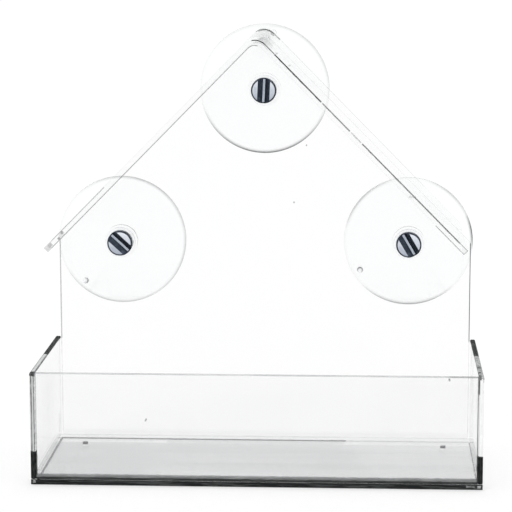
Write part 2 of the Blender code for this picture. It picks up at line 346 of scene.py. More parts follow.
def wire_zone_box(tree: Tree, given: bpy.types.NodeOutputs) -> dict[str, Socket]:
    """A box that may be turned about Y, with a soft and ragged border."""
    away = tree.vector("SUBTRACT", given["Vector"], given["Centre"])
    turned = tree.add("VectorRotate", {"Vector": away, "Angle": given["Turn"]},
                      rotation_type="Y_AXIS").outputs[0]
    past = tree.vector("SUBTRACT", tree.vector("ABSOLUTE", turned), given["Reach"])
    parts = tree.add("SeparateXYZ", {0: past}).outputs
    most = tree.maths("MAXIMUM", tree.maths("MAXIMUM", parts["X"], parts["Y"]), parts["Z"])
    edge = tree.maths("ADD", most, tree.times(given["Ragged"], given["Wobble"]))
    return {"Mask": tree.ramp(edge, given["Softness"], 0.0)}


def wire_sawn_streaks(tree: Tree, given: bpy.types.NodeOutputs) -> dict[str, Socket]:
    """Streaks that run along a sawn edge, and wider patches."""
    along = tree.vector("MULTIPLY", given["Vector"], given["Grain"])
    streaks = tree.noise(along, given["Scale"], 3.0, 0.6)
    patches = tree.noise(along, tree.times(given["Scale"], 0.35), 2.0, 0.6, 0.8)
    return {"Streak": tree.ramp(streaks, 0.42, 0.66), "Patch": tree.ramp(patches, 0.40, 0.64)}


def wire_plating_wear(tree: Tree, given: bpy.types.NodeOutputs) -> dict[str, Socket]:
    """Brushed lines, stains and pits of a plated turning, on the piece's own coordinates."""
    place = given["Vector"]
    brushed = tree.noise(tree.stretch(place, (0.10, 1.0, 1.0)), given["Scale"], 3.0, 0.7)
    stain = tree.ramp(tree.noise(place, 520.0, 2.0, 0.6, 0.4), 0.50, 0.72)
    pits = tree.ramp(tree.noise(place, 2600.0, 1.0), 0.70, 0.78)
    return {"Brushed": brushed, "Stain": stain, "Pit": pits}


HANDLING_MARKS = EffectGroup("handling_marks", {"Vector": ORIGIN, "Scale": 30.0, "Dust Scale": 90.0},
                             ("Smear", "Dust", "Height"), wire_handling_marks)
ZONE_BOX = EffectGroup("zone_box", {"Vector": ORIGIN, "Centre": ORIGIN, "Reach": ORIGIN, "Turn": 0.0,
                                    "Ragged": 0.0, "Wobble": 0.0, "Softness": 0.0005},
                       ("Mask",), wire_zone_box)
SAWN_STREAKS = EffectGroup("sawn_streaks", {"Vector": ORIGIN, "Grain": (0.06, 0.06, 1.0), "Scale": 2200.0},
                           ("Streak", "Patch"), wire_sawn_streaks)
PLATING_WEAR = EffectGroup("plating_wear", {"Vector": ORIGIN, "Scale": 5000.0},
                           ("Brushed", "Stain", "Pit"), wire_plating_wear)


# Finishes


def new_material(name: str) -> tuple[Material, Tree, Node]:
    """Returns a material, its tree and its Principled shader."""
    material = bpy.data.materials.new(name)
    material.use_nodes = True
    return material, Tree(material.node_tree), material.node_tree.nodes["Principled BSDF"]


RAGGED_SCALE = 420.0
DUST_TONE: Colour = (0.12, 0.12, 0.12)
DUST_COVER = 0.55
SMEAR_ROUGHNESS = 0.10
SHEET_RELIEF = 0.1
VINYL_RELIEF = 0.06
PLATING_RELIEF = 0.12
BUMP_DISTANCE = 0.0001
HEAD_ON_MIRROR = 0.04
LEAST_SHARE = 1e-6
GLOSS_TONE: Colour = (0.93, 0.94, 0.94)


@dataclass(frozen=True)
class Look:
    """How one part of a clear sheet looks.

    Args:
        tone: Its colour.
        cover: How much it hides of what lies behind it.
        streak: Colour of the streaks in it, or None where they have the same colour.
    """

    tone: Colour
    cover: float
    streak: Optional[Colour] = None


@dataclass(frozen=True)
class Patch:
    """A part of a surface with a look of its own.

    Args:
        low: The lowest corner of its box, in the row frame.
        high: The highest corner.
        look: The look inside the box.
        softness: Width of the fading border.
        wobble: How far the border wanders.
        turn: Turn of the box about Y, round its own middle.
    """

    low: Place
    high: Place
    look: Look
    softness: float = 0.0005
    wobble: float = 0.0006
    turn: float = 0.0

    def mask(self, tree: Tree, place: Socket, ragged: Socket) -> Socket:
        """Returns 1 inside the box and 0 outside."""
        low, high = Vector(self.low), Vector(self.high)
        return ZONE_BOX.put(tree, vector=place, centre=(low + high) / 2, reach=(high - low) / 2,
                            turn=self.turn, ragged=ragged, wobble=self.wobble,
                            softness=self.softness)["Mask"]


def zone(look: Look, x: Flat = EVERYWHERE, y: Flat = EVERYWHERE, z: Flat = EVERYWHERE,
         **border: float) -> Patch:
    """Makes a patch that ends only along the axes that are given.

    Args:
        look: The look of the patch.
        x: Where it starts and ends across the feeder.
        y: Where it starts and ends towards the window.
        z: Where it starts and ends upwards.
        border: Softness and wobble of its border.

    Returns:
        The patch.
    """
    low, high = zip(x, y, z)
    return Patch(low, high, look, **border)


@dataclass(frozen=True)
class SheetFinish:
    """One kind of surface of clear sheet: a polished face, a cut edge or an arris.

    Args:
        name: The material's name.
        look: The look outside the patches.
        patches: Parts with a look of their own; later ones lie on top.
        smear_cover: How much more a wipe mark hides.
        streak_cover: How much more a streak hides.
        mark_scale: Scale of the wipe marks, per metre.
        grain: How the streaks are stretched along the three axes.
        streak_scale: Scale of the streaks, per metre.
        gloss: Most that the mirror image may hide; 0 leaves it out.
        sheen: The shader's specular level.
        roughness: Roughness of the clean surface.
    """

    name: str
    look: Look
    patches: tuple[Patch, ...] = ()
    smear_cover: float = 0.0
    streak_cover: float = 0.0
    mark_scale: float = 24.0
    grain: Place = (0.06, 0.06, 1.0)
    streak_scale: float = 2200.0
    gloss: float = 0.0
    sheen: float = 0.0
    roughness: float = 0.2

    def make(self) -> Material:
        """Returns the material."""
        material, tree, shader = new_material(self.name)
        place = tree.add("TexCoord").outputs["Object"]
        marks = HANDLING_MARKS.put(tree, vector=place, scale=self.mark_scale)
        sawn = SAWN_STREAKS.put(tree, vector=place, grain=self.grain, scale=self.streak_scale)
        tone, streak, cover = self.look.tone, self.look.streak or self.look.tone, self.look.cover
        ragged = tree.maths("SUBTRACT", tree.noise(place, RAGGED_SCALE, 2.0), 0.5)
        for patch in self.patches:
            mask = patch.mask(tree, place, ragged)
            tone = tree.blend(mask, tone, patch.look.tone)
            streak = tree.blend(mask, streak, patch.look.streak or patch.look.tone)
            cover = tree.level(mask, cover, patch.look.cover)
        colour = tree.blend(sawn["Streak"], tone, streak)
        colour = tree.blend(marks["Dust"], colour, DUST_TONE)
        cover = tree.maths("ADD", cover, tree.times(marks["Smear"], self.smear_cover))
        cover = tree.maths("ADD", cover, tree.times(sawn["Patch"], self.streak_cover), True)
        cover = tree.maths("MAXIMUM", cover, tree.times(marks["Dust"], DUST_COVER))
        if self.gloss:
            colour, cover = self.add_gloss(tree, colour, cover)
        tree.fill(shader, {
            "Base Color": colour, "Alpha": cover, "IOR": ACRYLIC_IOR, "Specular IOR Level": self.sheen,
            "Roughness": tree.level(marks["Smear"], self.roughness, self.roughness + SMEAR_ROUGHNESS),
            "Normal": tree.bump(marks["Height"] if self.gloss else sawn["Streak"], SHEET_RELIEF,
                                BUMP_DISTANCE)})
        return material

    def add_gloss(self, tree: Tree, colour: Socket, cover: Socket) -> tuple[Socket, Socket]:
        """Whitens and closes the face where it mirrors its surroundings at a flat angle.

        Args:
            tree: The material's tree.
            colour: Colour of the face without its gloss.
            cover: How much the face hides without its gloss.

        Returns:
            The colour and the cover with the gloss.
        """
        mirror = tree.add("Fresnel", {"IOR": ACRYLIC_IOR}).outputs[0]
        mirror = tree.maths("MINIMUM", tree.maths("SUBTRACT", mirror, HEAD_ON_MIRROR, True), self.gloss)
        open_share = tree.times(tree.maths("SUBTRACT", 1.0, cover, True),
                                tree.maths("SUBTRACT", 1.0, mirror, True))
        closed = tree.maths("SUBTRACT", 1.0, open_share, True)
        own_share = tree.maths("DIVIDE", cover, tree.maths("MAXIMUM", closed, LEAST_SHARE), True)
        return tree.blend(own_share, GLOSS_TONE, colour), closed


def dress(*finishes: SheetFinish) -> list[Material]:
    """Returns the materials of a sheet's face, cut edge and arris."""
    return [finish.make() for finish in finishes]


@dataclass(frozen=True)
class SoftVinyl:
    """Clear soft PVC, moulded with a polished tool.

    Args:
        name: The material's name.
        tint: Colour of the light that passes.
        rim_shade_tint: Painted shade on the rim: colour of the light that passes where the rim is darkest.
        bending: Index of refraction; a lower one hides the outlines as a wetted seat does.
        lamp_tint: Colour of the lamps' light that passes.
        roughness: Roughness of the clean surface.
        smear_roughness: Roughness of a wipe mark.
        mark_scale: Scale of the wipe marks, per metre.
        dust_scale: Scale of the dust, per metre.
        break_scale: Scale of the breaks in the rim's painted shade, per metre.
        broken_share: How much of the painted shade the rim keeps at a break.
    """

    name: str
    tint: Colour = (0.985, 0.992, 0.995)
    rim_shade_tint: Colour = (0.10, 0.105, 0.11)
    bending: float = VINYL_IOR
    lamp_tint: Colour = (0.93, 0.94, 0.945)
    roughness: float = 0.02
    smear_roughness: float = 0.07
    mark_scale: float = 60.0
    dust_scale: float = 160.0
    break_scale: float = 55.0
    broken_share: float = 0.80

    def make(self) -> Material:
        """Returns the material, which lets lamps through as thin clear PVC does."""
        material, tree, shader = new_material(self.name)
        place = tree.attribute(TURNED, "Vector")
        # Painted shade on the rim, from the rim_share attribute, broken up by noise.
        rim = tree.attribute(RIM_SHARE, "Fac")
        marks = HANDLING_MARKS.put(tree, vector=place, scale=self.mark_scale, dust_scale=self.dust_scale)
        broken = tree.ramp(tree.noise(place, self.break_scale, 2.0), 0.30, 0.55)
        rim = tree.times(rim, tree.level(broken, self.broken_share, 1.0), True)
        tree.fill(shader, {
            "Base Color": tree.blend(rim, self.tint, self.rim_shade_tint),
            "Roughness": tree.level(marks["Smear"], self.roughness, self.smear_roughness),
            "IOR": self.bending, "Transmission Weight": 1.0,
            "Normal": tree.bump(marks["Height"], VINYL_RELIEF, BUMP_DISTANCE)})
        open_air = tree.add("BsdfTransparent", {"Color": self.lamp_tint}).outputs[0]
        lamp_ray = tree.add("LightPath").outputs["Is Shadow Ray"]
        mixed = tree.add("MixShader", {0: lamp_ray, 1: shader.outputs[0], 2: open_air}).outputs[0]
        tree.fill(material.node_tree.nodes["Material Output"], {"Surface": mixed})
        return material


@dataclass(frozen=True)
class Plating:
    """Bright nickel plating on turned steel.

    Args:
        name: The material's name.
        bright: Colour of the clean metal.
        stain_and_shade: Colour of the stained metal, and of the painted shade on the head's lower half.
        roughness: Roughness of the clean metal.
        lines: Strength of the brushed lines.
        stains: Strength of the stains.
        low_shade: How far painted shade darkens the lower half of the head.
        line_roughness: How much rougher a brushed line is.
    """

    name: str
    bright: Colour
    stain_and_shade: Colour
    roughness: float = 0.24
    lines: float = 0.25
    stains: float = 0.6
    low_shade: float = 0.0
    line_roughness: float = 0.12

    def make(self) -> Material:
        """Returns the material."""
        material, tree, shader = new_material(self.name)
        wear = PLATING_WEAR.put(tree, vector=tree.attribute(TURNED, "Vector"))
        stained = tree.maths("MAXIMUM", wear["Stain"], wear["Pit"])
        colour = tree.blend(tree.times(stained, self.stains), self.bright, self.stain_and_shade)
        brushed = tree.ramp(wear["Brushed"], 0.35, 0.65)
        colour = tree.blend(tree.times(brushed, self.lines), colour, self.stain_and_shade)
        # Painted shade: the head's lower half goes towards the darker colour.
        low = tree.times(tree.attribute(LOW_SHARE, "Fac"), self.low_shade, True)
        tree.fill(shader, {
            "Base Color": tree.blend(low, colour, self.stain_and_shade), "Metallic": 1.0,
            "Roughness": tree.level(brushed, self.roughness, self.roughness + self.line_roughness),
            "Normal": tree.bump(wear["Brushed"], PLATING_RELIEF, BUMP_DISTANCE / 2)})
        return material


# Shaping


def as_object(name: str, shape: Shape, materials: Sequence[Optional[Material]]) -> bpy.types.Object:
    """Makes a linked object of a shape, which is used up.

    Args:
        name: Name of the object and its mesh.
        shape: Its mesh, in the row frame.
        materials: Its material slots.

    Returns:
        The new object.
    """
    mesh = bpy.data.meshes.new(name)
    shape.to_mesh(mesh)
    shape.free()
    for material in materials:
        mesh.materials.append(material)
    return link(name, mesh)


def link(name: str, data: bpy.types.ID) -> bpy.types.Object:
    """Adds an object that shows a mesh, a lamp or a camera."""
    made = bpy.data.objects.new(name, data)
    bpy.context.scene.collection.objects.link(made)
    return made


def close_up(shape: Shape) -> None:
    """Merges doubles and turns every face outwards."""
    bmesh.ops.remove_doubles(shape, verts=shape.verts, dist=MERGE_DISTANCE)
    bmesh.ops.recalc_face_normals(shape, faces=shape.faces)


def polyline(shape: Shape, points: Iterable[Vector], closed: bool = False) -> list:
    """Adds a chain of edges and returns its vertices and edges."""
    verts = [shape.verts.new(point) for point in points]
    pairs = list(zip(verts, verts[1:]))
    if closed:
        pairs.append((verts[-1], verts[0]))
    return verts + [shape.edges.new(pair) for pair in pairs]


def raise_faces(shape: Shape, faces: Sequence, push: Vector) -> None:
    """Extrudes flat faces into a solid."""
    grown = bmesh.ops.extrude_face_region(shape, geom=list(faces))
    moved = [item for item in grown["geom"] if isinstance(item, bmesh.types.BMVert)]
    bmesh.ops.translate(shape, vec=push, verts=moved)
    bmesh.ops.recalc_face_normals(shape, faces=shape.faces)


def mark_zones(shape: Shape, is_face: Callable[[bmesh.types.BMFace], bool], arris: float) -> None:
    """Gives faces and cut edges their zones, and takes off the arrises as a third zone.

    Args:
        shape: The solid sheet.
        is_face: Test that is true for a polished face.
        arris: Width of the bevels.
    """
    for side in shape.faces:
        side.material_index = Zone.FACE if is_face(side) else Zone.CUT
    sharp = [edge for edge in shape.edges if edge.calc_face_angle(0) > SHARP_ANGLE]
    made = bmesh.ops.bevel(shape, geom=sharp, offset=arris, offset_type="OFFSET", segments=ARRIS_STEPS,
                           profile=0.5, affect="EDGES", clamp_overlap=True, material=-1)
    for side in made["faces"]:
        side.material_index = Zone.ARRIS


def cut_sheet(outline: Sequence[Flat], holes: Sequence[Spot], axis: Axis,
              low: float, high: float, arris: float) -> Shape:
    """Cuts a flat sheet with round holes.

    Args:
        outline: Corners of the sheet in its own plane, in order.
        holes: (u, v, radius) of each hole.
        axis: The direction in which the sheet is thin.
        low: Where the sheet starts along that axis.
        high: Where it ends.
        arris: Width of the bevels.

    Returns:
        The sheet as a solid with its zones marked.
    """
    shape = bmesh.new()
    polyline(shape, [axis.place(u, v, low) for u, v in outline], closed=True)
    for u, v, radius in holes:
        points = []
        for step in range(HOLE_SIDES):
            turn = math.tau * step / HOLE_SIDES
            points.append(axis.place(u + radius * math.cos(turn), v + radius * math.sin(turn), low))
        polyline(shape, points, closed=True)
    if holes:
        bmesh.ops.triangle_fill(shape, use_beauty=True, use_dissolve=False, edges=shape.edges[:])
        bmesh.ops.dissolve_limit(shape, angle_limit=FLAT_ANGLE, use_dissolve_boundaries=False,
                                 verts=shape.verts[:], edges=shape.edges[:])
    else:
        bmesh.ops.contextual_create(shape, geom=shape.edges[:])
    raise_faces(shape, shape.faces[:], axis.unit() * (high - low))
    mark_zones(shape, lambda side: abs(side.normal.dot(axis.unit())) > FLAT_NORMAL, arris)
    return shape


def spin_round(shape: Shape, profile: Sequence[Flat], sides: int, closed: bool = False) -> None:
    """Spins (radius, y) points about the Y axis into a shape."""
    geom = polyline(shape, [Vector((radius, y, 0.0)) for radius, y in profile], closed)
    bmesh.ops.spin(shape, geom=geom, axis=Axis.Y.unit(), cent=ORIGIN, angle=math.tau,
                   steps=sides, use_merge=True)


def turn_profile(profile: Sequence[Flat], sides: int, closed: bool = False) -> Shape:
    """Turns a half section into a solid.

    Args:
        profile: (radius, y) points of the half section.
        sides: Steps of the spin.
        closed: True where the section is a closed ring.

    Returns:
        The turned solid.
    """
    shape = bmesh.new()
    spin_round(shape, profile, sides, closed)
    close_up(shape)
    return shape


def round_corner(before: Flat, corner: Flat, after: Flat, radius: float, steps: int = 3) -> list[Flat]:
    """Replaces a corner of a half section by a short arc.

    Args:
        before: The point ahead of the corner.
        corner: The corner itself.
        after: The point that follows it.
        radius: How far from the corner the arc starts and ends.
        steps: Number of straight pieces.

    Returns:
        The points of the arc.
    """
    middle = Vector(corner)
    start, end = (middle + (Vector(point) - middle).normalized() * radius for point in (before, after))
    shares = [step / steps for step in range(steps + 1)]
    return [tuple(start.lerp(middle, share).lerp(middle.lerp(end, share), share)) for share in shares]


class Workshop:
    """Turns shapes into pieces that ride on the CAD bodies."""

    def __init__(self, record: dict) -> None:
        """Reads each node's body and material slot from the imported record."""
        bodies = record["behaviour"]["bodies"]
        self.body_of = {node: body for body, nodes in bodies.items() for node in nodes}
        self.slot_of = {row["node"]: row["material_slot"] for row in record["subparts"]}
        self.made: list[str] = []

    def fit(self, shape: Shape, name: str, node: str, materials: Sequence[Material],
            smooth: bool = False) -> None:
        """Makes a piece that stands for a CAD node.

        Args:
            shape: The piece's mesh, in the row frame.
            name: The piece's name.
            node: The CAD node that it replaces.
            materials: Its material slots.
            smooth: True where round forms are shaded smooth.
        """
        piece = as_object(name, shape, materials)
        if smooth:
            piece.data.shade_smooth()
            piece.data.set_sharp_from_angle(angle=SMOOTH_ANGLE)
        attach(piece, self.body_of[node])
        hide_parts(node)
        self.made.append(name)
        LOG.info("piece %s stands for %s on body %s, %d faces", name, node,
                 self.body_of[node], len(piece.data.polygons))


# Sub-assemblies


@dataclass
class AcrylicHouse:
    """The back panel and the bent roof.

    Args:
        arris: Width of the bevels.
        panel_width: Width of the panel.
        shoulder_height: Height at which the slopes start.
        apex_height: Height at which the slopes would meet.
        bend_radius: Inner radius of the roof's bend.
        roof_gauge: Thickness of the roof.
        eave_setback: How far the eaves stay inside the panel's sides.
        seam: Width of the solvent seams.
        neck_hole_radius: Radius of the holes for the cups' necks.
        bend_steps: Straight pieces in the bend.
        roof_arris: Width of the roof's bevels.
        tray_top: Height from which the panel's sides stand clear of the tray.
        bend_piece: Half length of one patch along the bend.
        line_reach: Half thickness of the patches that pick one arris.
        line_lift: How far the thick lines' middles lie outside the roof.
        line_fade: Width of their fading border.
        edge_reach: How far behind the roof's front edge its marks end.
        panel_marks: The panel's small marks: (x, z), half sizes and look.
    """

    arris: float = 0.00022
    panel_width: float = 0.150
    shoulder_height: float = 0.075
    apex_height: float = 0.151
    bend_radius: float = 0.0030
    roof_gauge: float = 0.0020
    eave_setback: float = 0.0055
    seam: float = 0.0003
    neck_hole_radius: float = 0.00425
    bend_steps: int = 14
    roof_arris: float = 0.00030
    tray_top: float = 0.0386
    bend_piece: float = 0.0009
    line_reach: float = 0.0006
    line_lift: float = 0.0003
    line_fade: float = 0.0003
    edge_reach: float = 0.001
    panel_marks: tuple[tuple[Flat, Flat, Look], ...] = (
        ((0.0537, 0.0915), (0.0012, 0.0002), Look((0.30, 0.31, 0.31), 0.26)),
        ((0.01534, 0.1102), (0.0002, 0.0002), Look((0.10, 0.10, 0.10), 0.45)),
        ((0.0045, 0.1433), (0.0003, 0.0002), Look((0.30, 0.30, 0.31), 0.30)),
        ((0.00917, 0.1389), (0.0003, 0.0002), Look((0.30, 0.30, 0.31), 0.30)),
    )

    @property
    def slope(self) -> float:
        """Returns the angle of the roof from the level."""
        return math.atan2(self.apex_height - self.shoulder_height, self.panel_width / 2)

    def ridge_arc(self, radius: float, apex: float) -> list[Flat]:
        """Rounds the apex: (x, z) points from the left slope to the right slope."""
        centre = apex - radius / math.cos(self.slope)
        points = []
        for step in range(self.bend_steps + 1):
            turn = self.slope * (2 * step / self.bend_steps - 1)
            points.append((radius * math.sin(turn), centre + radius * math.cos(turn)))
        return points

    def shape_panel(self) -> Shape:
        """Returns the house-shaped sheet with its three neck holes."""
        low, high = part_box("back_panel")
        half = self.panel_width / 2
        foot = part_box("tray_floor")[1].z + WELD
        outline = [(-half, foot), (-half, self.shoulder_height)]
        outline += self.ridge_arc(self.bend_radius - self.seam, self.apex_height)
        outline += [(half, self.shoulder_height), (half, foot)]
        holes = [(*station.centre(), self.neck_hole_radius) for station in STATIONS]
        return cut_sheet(outline, holes, Axis.Y, low.y, high.y, self.arris)

    def shape_roof(self) -> Shape:
        """Returns the roof: one sheet bent along its ridge."""
        low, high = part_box("roof")
        lift = self.seam / math.cos(self.slope)
        rise = self.roof_gauge / math.cos(self.slope)
        eave_x = self.panel_width / 2 - self.eave_setback
        eave_z = self.apex_height + lift - eave_x * math.tan(self.slope)
        out_x = self.roof_gauge * math.sin(self.slope)
        out_z = self.roof_gauge * math.cos(self.slope)
        inner = self.ridge_arc(self.bend_radius, self.apex_height + lift)
        outer = self.ridge_arc(self.bend_radius + self.roof_gauge, self.apex_height + lift + rise)
        inner = [(-eave_x, eave_z)] + inner + [(eave_x, eave_z)]
        outer = [(-eave_x - out_x, eave_z + out_z)] + outer + [(eave_x + out_x, eave_z + out_z)]
        shape = bmesh.new()
        for line in (inner, outer):
            polyline(shape, [Axis.Y.place(x, z, low.y) for x, z in line])
        bmesh.ops.bridge_loops(shape, edges=shape.edges[:])
        raise_faces(shape, shape.faces[:], Axis.Y.unit() * (high.y - low.y))
        slopes = [Vector((side * math.sin(self.slope), 0.0, math.cos(self.slope))) for side in (-1, 1)]

        def on_sheet(side: bmesh.types.BMFace) -> bool:
            """Tells the sheet's faces and bend from its cut ends."""
            across = max(abs(side.normal.dot(way)) for way in slopes)
            near_ridge = abs(side.calc_center_median().x) < 2 * self.bend_radius + self.roof_gauge
            return abs(side.normal.y) < END_NORMAL and (across > FLAT_NORMAL or near_ridge)

        mark_zones(shape, on_sheet, self.roof_arris)
        return shape

    def edge_patch(self, x: float, z: float, half: float, front: bool, turn: float, look: Look) -> Patch:
        """Returns a slim patch on the roof's front or rear edge.

        Args:
            x: Its middle across the feeder.
            z: Its middle's height.
            half: Half its length.
            front: True for the front edge, False for the rear one.
            turn: Its turn about Y.
            look: Its look.

        Returns:
            The patch.
        """
        low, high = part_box("roof")
        middle = Vector((x, low.y if front else high.y, z))
        half_box = Vector((half, self.line_reach, self.line_reach))
        return Patch(tuple(middle - half_box), tuple(middle + half_box), look,
                     softness=self.line_fade, wobble=self.line_fade, turn=turn)

    def along_slope(self, side: int, start: float, end: float, level: float, front: bool,
                    look: Look) -> Patch:
        """Returns a patch along one of the roof's long edges.

        Args:
            side: -1 for the left slope and 1 for the right one.
            start: Where it starts, as a distance from the panel's middle plane.
            end: Where it ends.
            level: Distance from the roof's inner surface.
            front: True for the front edge, False for the rear one.
            look: The look of the patch.

        Returns:
            The patch, turned with the slope.
        """
        middle, lift = (start + end) / 2, (self.seam + level) / math.cos(self.slope)
        height = self.apex_height + lift - middle * math.tan(self.slope)
        return self.edge_patch(side * middle, height, (end - start) / 2 / math.cos(self.slope), front,
                               -side * self.slope, look)

    def along_bend(self, turns: Sequence[float], front: bool, level: float, look: Look) -> tuple[Patch, ...]:
        """Returns short patches that follow an edge of the bend.

        Args:
            turns: Angles of their middles from straight up, in degrees, positive to the right.
            front: True for the front edge, False for the rear one.
            level: Distance from the roof's inner surface.
            look: The look of the patches.

        Returns:
            One patch for each angle.
        """
        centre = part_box("roof")[1].z - self.bend_radius - self.roof_gauge
        radius = self.bend_radius + level
        return tuple(self.edge_patch(radius * math.sin(turn), centre + radius * math.cos(turn),
                                     self.bend_piece, front, -turn, look)
                     for turn in map(math.radians, turns))

    def thick_lines(self) -> tuple[Patch, ...]:
        """Returns the stretches of edge that take dark painted shade on the arris and the cut face."""
        fading = Look((0.10, 0.105, 0.105), 0.75)
        black = Look((0.012, 0.013, 0.014), 1.0)
        outer = self.roof_gauge + self.line_lift
        return (
            self.along_slope(1, 0.0030, 0.0060, outer, False, fading),
        ) + tuple(
            self.along_slope(1, start, end, outer, True, Look(tone, cover))
            for start, end, tone, cover in (
                (0.0070, 0.0222, (0.045, 0.047, 0.048), 0.95),
                (0.0228, 0.0317, (0.09, 0.093, 0.094), 0.74),
                (0.0323, 0.0354, (0.16, 0.165, 0.165), 0.40), (0.0360, 0.0685, (0.07, 0.073, 0.074), 0.80))
        ) + self.along_bend((-14.0, -2.0, 10.0, 22.0, 34.0), False, self.roof_gauge, black)

    def roof_lines(self) -> tuple[Patch, ...]:
        """Returns the stretches of the roof's arrises that the light draws."""
        outer, eave = self.roof_gauge, self.panel_width / 2
        grey, mid, dark = (Look(tone, cover) for tone, cover in (
            ((0.30, 0.31, 0.31), 0.70), ((0.13, 0.135, 0.135), 0.90), ((0.035, 0.036, 0.037), 1.0)))
        faint, soft = Look((0.40, 0.42, 0.43), 0.22), Look((0.30, 0.31, 0.31), 0.62)
        return (
            self.along_slope(-1, 0.002, eave, 0.0, True, grey),
            self.along_slope(-1, 0.0505, eave, outer, True, soft),
            self.along_slope(1, 0.000, 0.0065, outer, True, mid),
            self.along_slope(1, 0.060, eave, 0.0, True, grey),
            self.along_slope(1, 0.0065, 0.058, outer, False, faint),
        ) + (self.along_bend((-34.0, -17.0, 0.0), True, 0.0, grey)
             + self.along_bend((0.0, 17.0, 34.0), True, outer, dark)
             + self.along_bend((-26.0,), False, outer, mid) + self.thick_lines())

    def dress_panel(self) -> list[Material]:
        """Returns the panel's three materials, with painted shade at its foot and side arrises."""
        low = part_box("back_panel")[0]
        foot, middle = low.z, low.x + self.panel_width / 2
        # Painted shade: the face darkens a little towards its foot, where it stands in the tray.
        foot_shade = zone(Look((0.45, 0.46, 0.465), 0.055), z=(-FAR, foot + 0.0008), softness=0.0018, wobble=0.0008)
        base = zone(Look((0.60, 0.62, 0.63), 0.01), z=(-FAR, foot + 0.001), wobble=0.0)
        marks = tuple(Patch((x - width, -FAR, z - height), (x + width, FAR, z + height), look,
                            softness=0.0002, wobble=0.0006)
                      for (x, z), (width, height), look in self.panel_marks)
        face = SheetFinish("panel_face", Look((0.78, 0.80, 0.81), 0.028), (foot_shade,) + marks,
                           smear_cover=0.010, mark_scale=20.0, gloss=0.12, sheen=0.5, roughness=0.05)
        cut = SheetFinish("panel_cut_edge", Look((0.50, 0.53, 0.54), 0.12, (0.30, 0.32, 0.33)), (base,),
                          streak_cover=0.10)
        # Painted shade on the side arrises above the tray, darker on the right than on the left.
        sides = tuple(zone(look, x=span, z=(self.tray_top, self.shoulder_height), wobble=0.0)
                      for span, look in (((middle, FAR), Look((0.12, 0.13, 0.13), 0.88)),
                                         ((-FAR, middle), Look((0.28, 0.29, 0.29), 0.50))))
        above = zone(Look((0.40, 0.42, 0.43), 0.05), z=(self.shoulder_height, FAR), wobble=0.0)
        arris = SheetFinish("panel_arris", Look((0.40, 0.42, 0.43), 0.10), sides + (above, base),
                            streak_cover=0.06)
        return dress(face, cut, arris)

    def dress_roof(self) -> list[Material]:
        """Returns the roof's three materials, with painted shade on its bend, edges and eaves."""
        low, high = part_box("roof")
        # Painted shade over the ridge's bend: soft grey patches where the bend's refraction darkens the roof,
        # and a near black crown at its rear.
        bend_shades = tuple(
            Patch((left, high.y - far, high.z - 0.004), (right, high.y - near, high.z + 0.001),
                  Look((0.34, 0.35, 0.35), cover, (0.12, 0.125, 0.13)), softness=0.003, wobble=0.004)
            for left, right, near, far, cover in (
                (-0.0054, 0.0024, 0.008, 0.030, 0.50), (-0.0030, 0.0020, 0.030, 0.050, 0.60)))
        crown = Patch((-0.0030, high.y - 0.0026, high.z - 0.003), (0.0050, high.y + 0.001, high.z + 0.001),
                      Look((0.012, 0.013, 0.014), 0.94), softness=0.0004, wobble=0.0004)
        face = SheetFinish("roof_face", Look((0.80, 0.84, 0.86), 0.008), bend_shades + (crown,),
                           smear_cover=0.014, streak_cover=0.012, grain=(0.12, 1.0, 0.12),
                           streak_scale=420.0, gloss=0.10, sheen=0.5, roughness=0.05)
        eave = self.panel_width / 2 - self.eave_setback
        edge = (-FAR, low.y + self.edge_reach)
        # Painted shade at the eaves' ends: the left tip and the dark marks near it, the right tip, and a dark
        # line on the right eave's arris.
        tip = zone(Look((0.40, 0.41, 0.41), 0.32, (0.035, 0.036, 0.037)), x=(-FAR, -eave + 0.0012),
                   y=edge, wobble=0.0016)
        eave_shade = zone(Look((0.34, 0.35, 0.35), 0.26, (0.03, 0.031, 0.032)), wobble=0.0012, y=edge,
                    x=(-eave + 0.0040, -eave + 0.0054), z=(low.z + 0.0045, low.z + 0.0062))
        # Both looks are painted shade near the left eave's end.
        spot, scratch_and_shade = Look((0.10, 0.105, 0.11), 0.62), Look((0.14, 0.145, 0.15), 0.50)
        eave_shade_marks = (self.along_slope(-1, eave - 0.0049, eave - 0.0044, 0.0016, True, spot),
                 self.along_slope(-1, eave - 0.0042, eave - 0.0038, 0.0003, True, spot),
                 self.along_slope(-1, eave - 0.0012, eave - 0.0002, 0.0012, True, scratch_and_shade))
        right_tip = zone(Look((0.50, 0.51, 0.51), 0.10, (0.25, 0.255, 0.26)), x=(eave, FAR), y=edge,
                         wobble=0.0010)
        right_line = zone(Look((0.22, 0.225, 0.23), 0.55), x=(eave - 0.0012, FAR), y=edge, wobble=0.0010)
        cut = SheetFinish("roof_cut_edge", Look((0.62, 0.65, 0.66), 0.030, (0.45, 0.47, 0.48)),
                          self.thick_lines() + (tip, eave_shade, right_tip) + eave_shade_marks, streak_cover=0.02)
        arris = SheetFinish("roof_arris", Look((0.45, 0.47, 0.48), 0.05),
                            self.roof_lines() + (tip, right_line), streak_cover=0.03)
        return dress(face, cut, arris)

    def build(self, shop: Workshop) -> None:
        """Makes and dresses the panel and the roof."""
        shop.fit(self.shape_panel(), "house_panel", "back_panel", self.dress_panel())
        shop.fit(self.shape_roof(), "bent_roof", "roof", self.dress_roof())


class Side(Enum):
    """The two side walls of the tray."""

    LEFT = "left"
    RIGHT = "right"


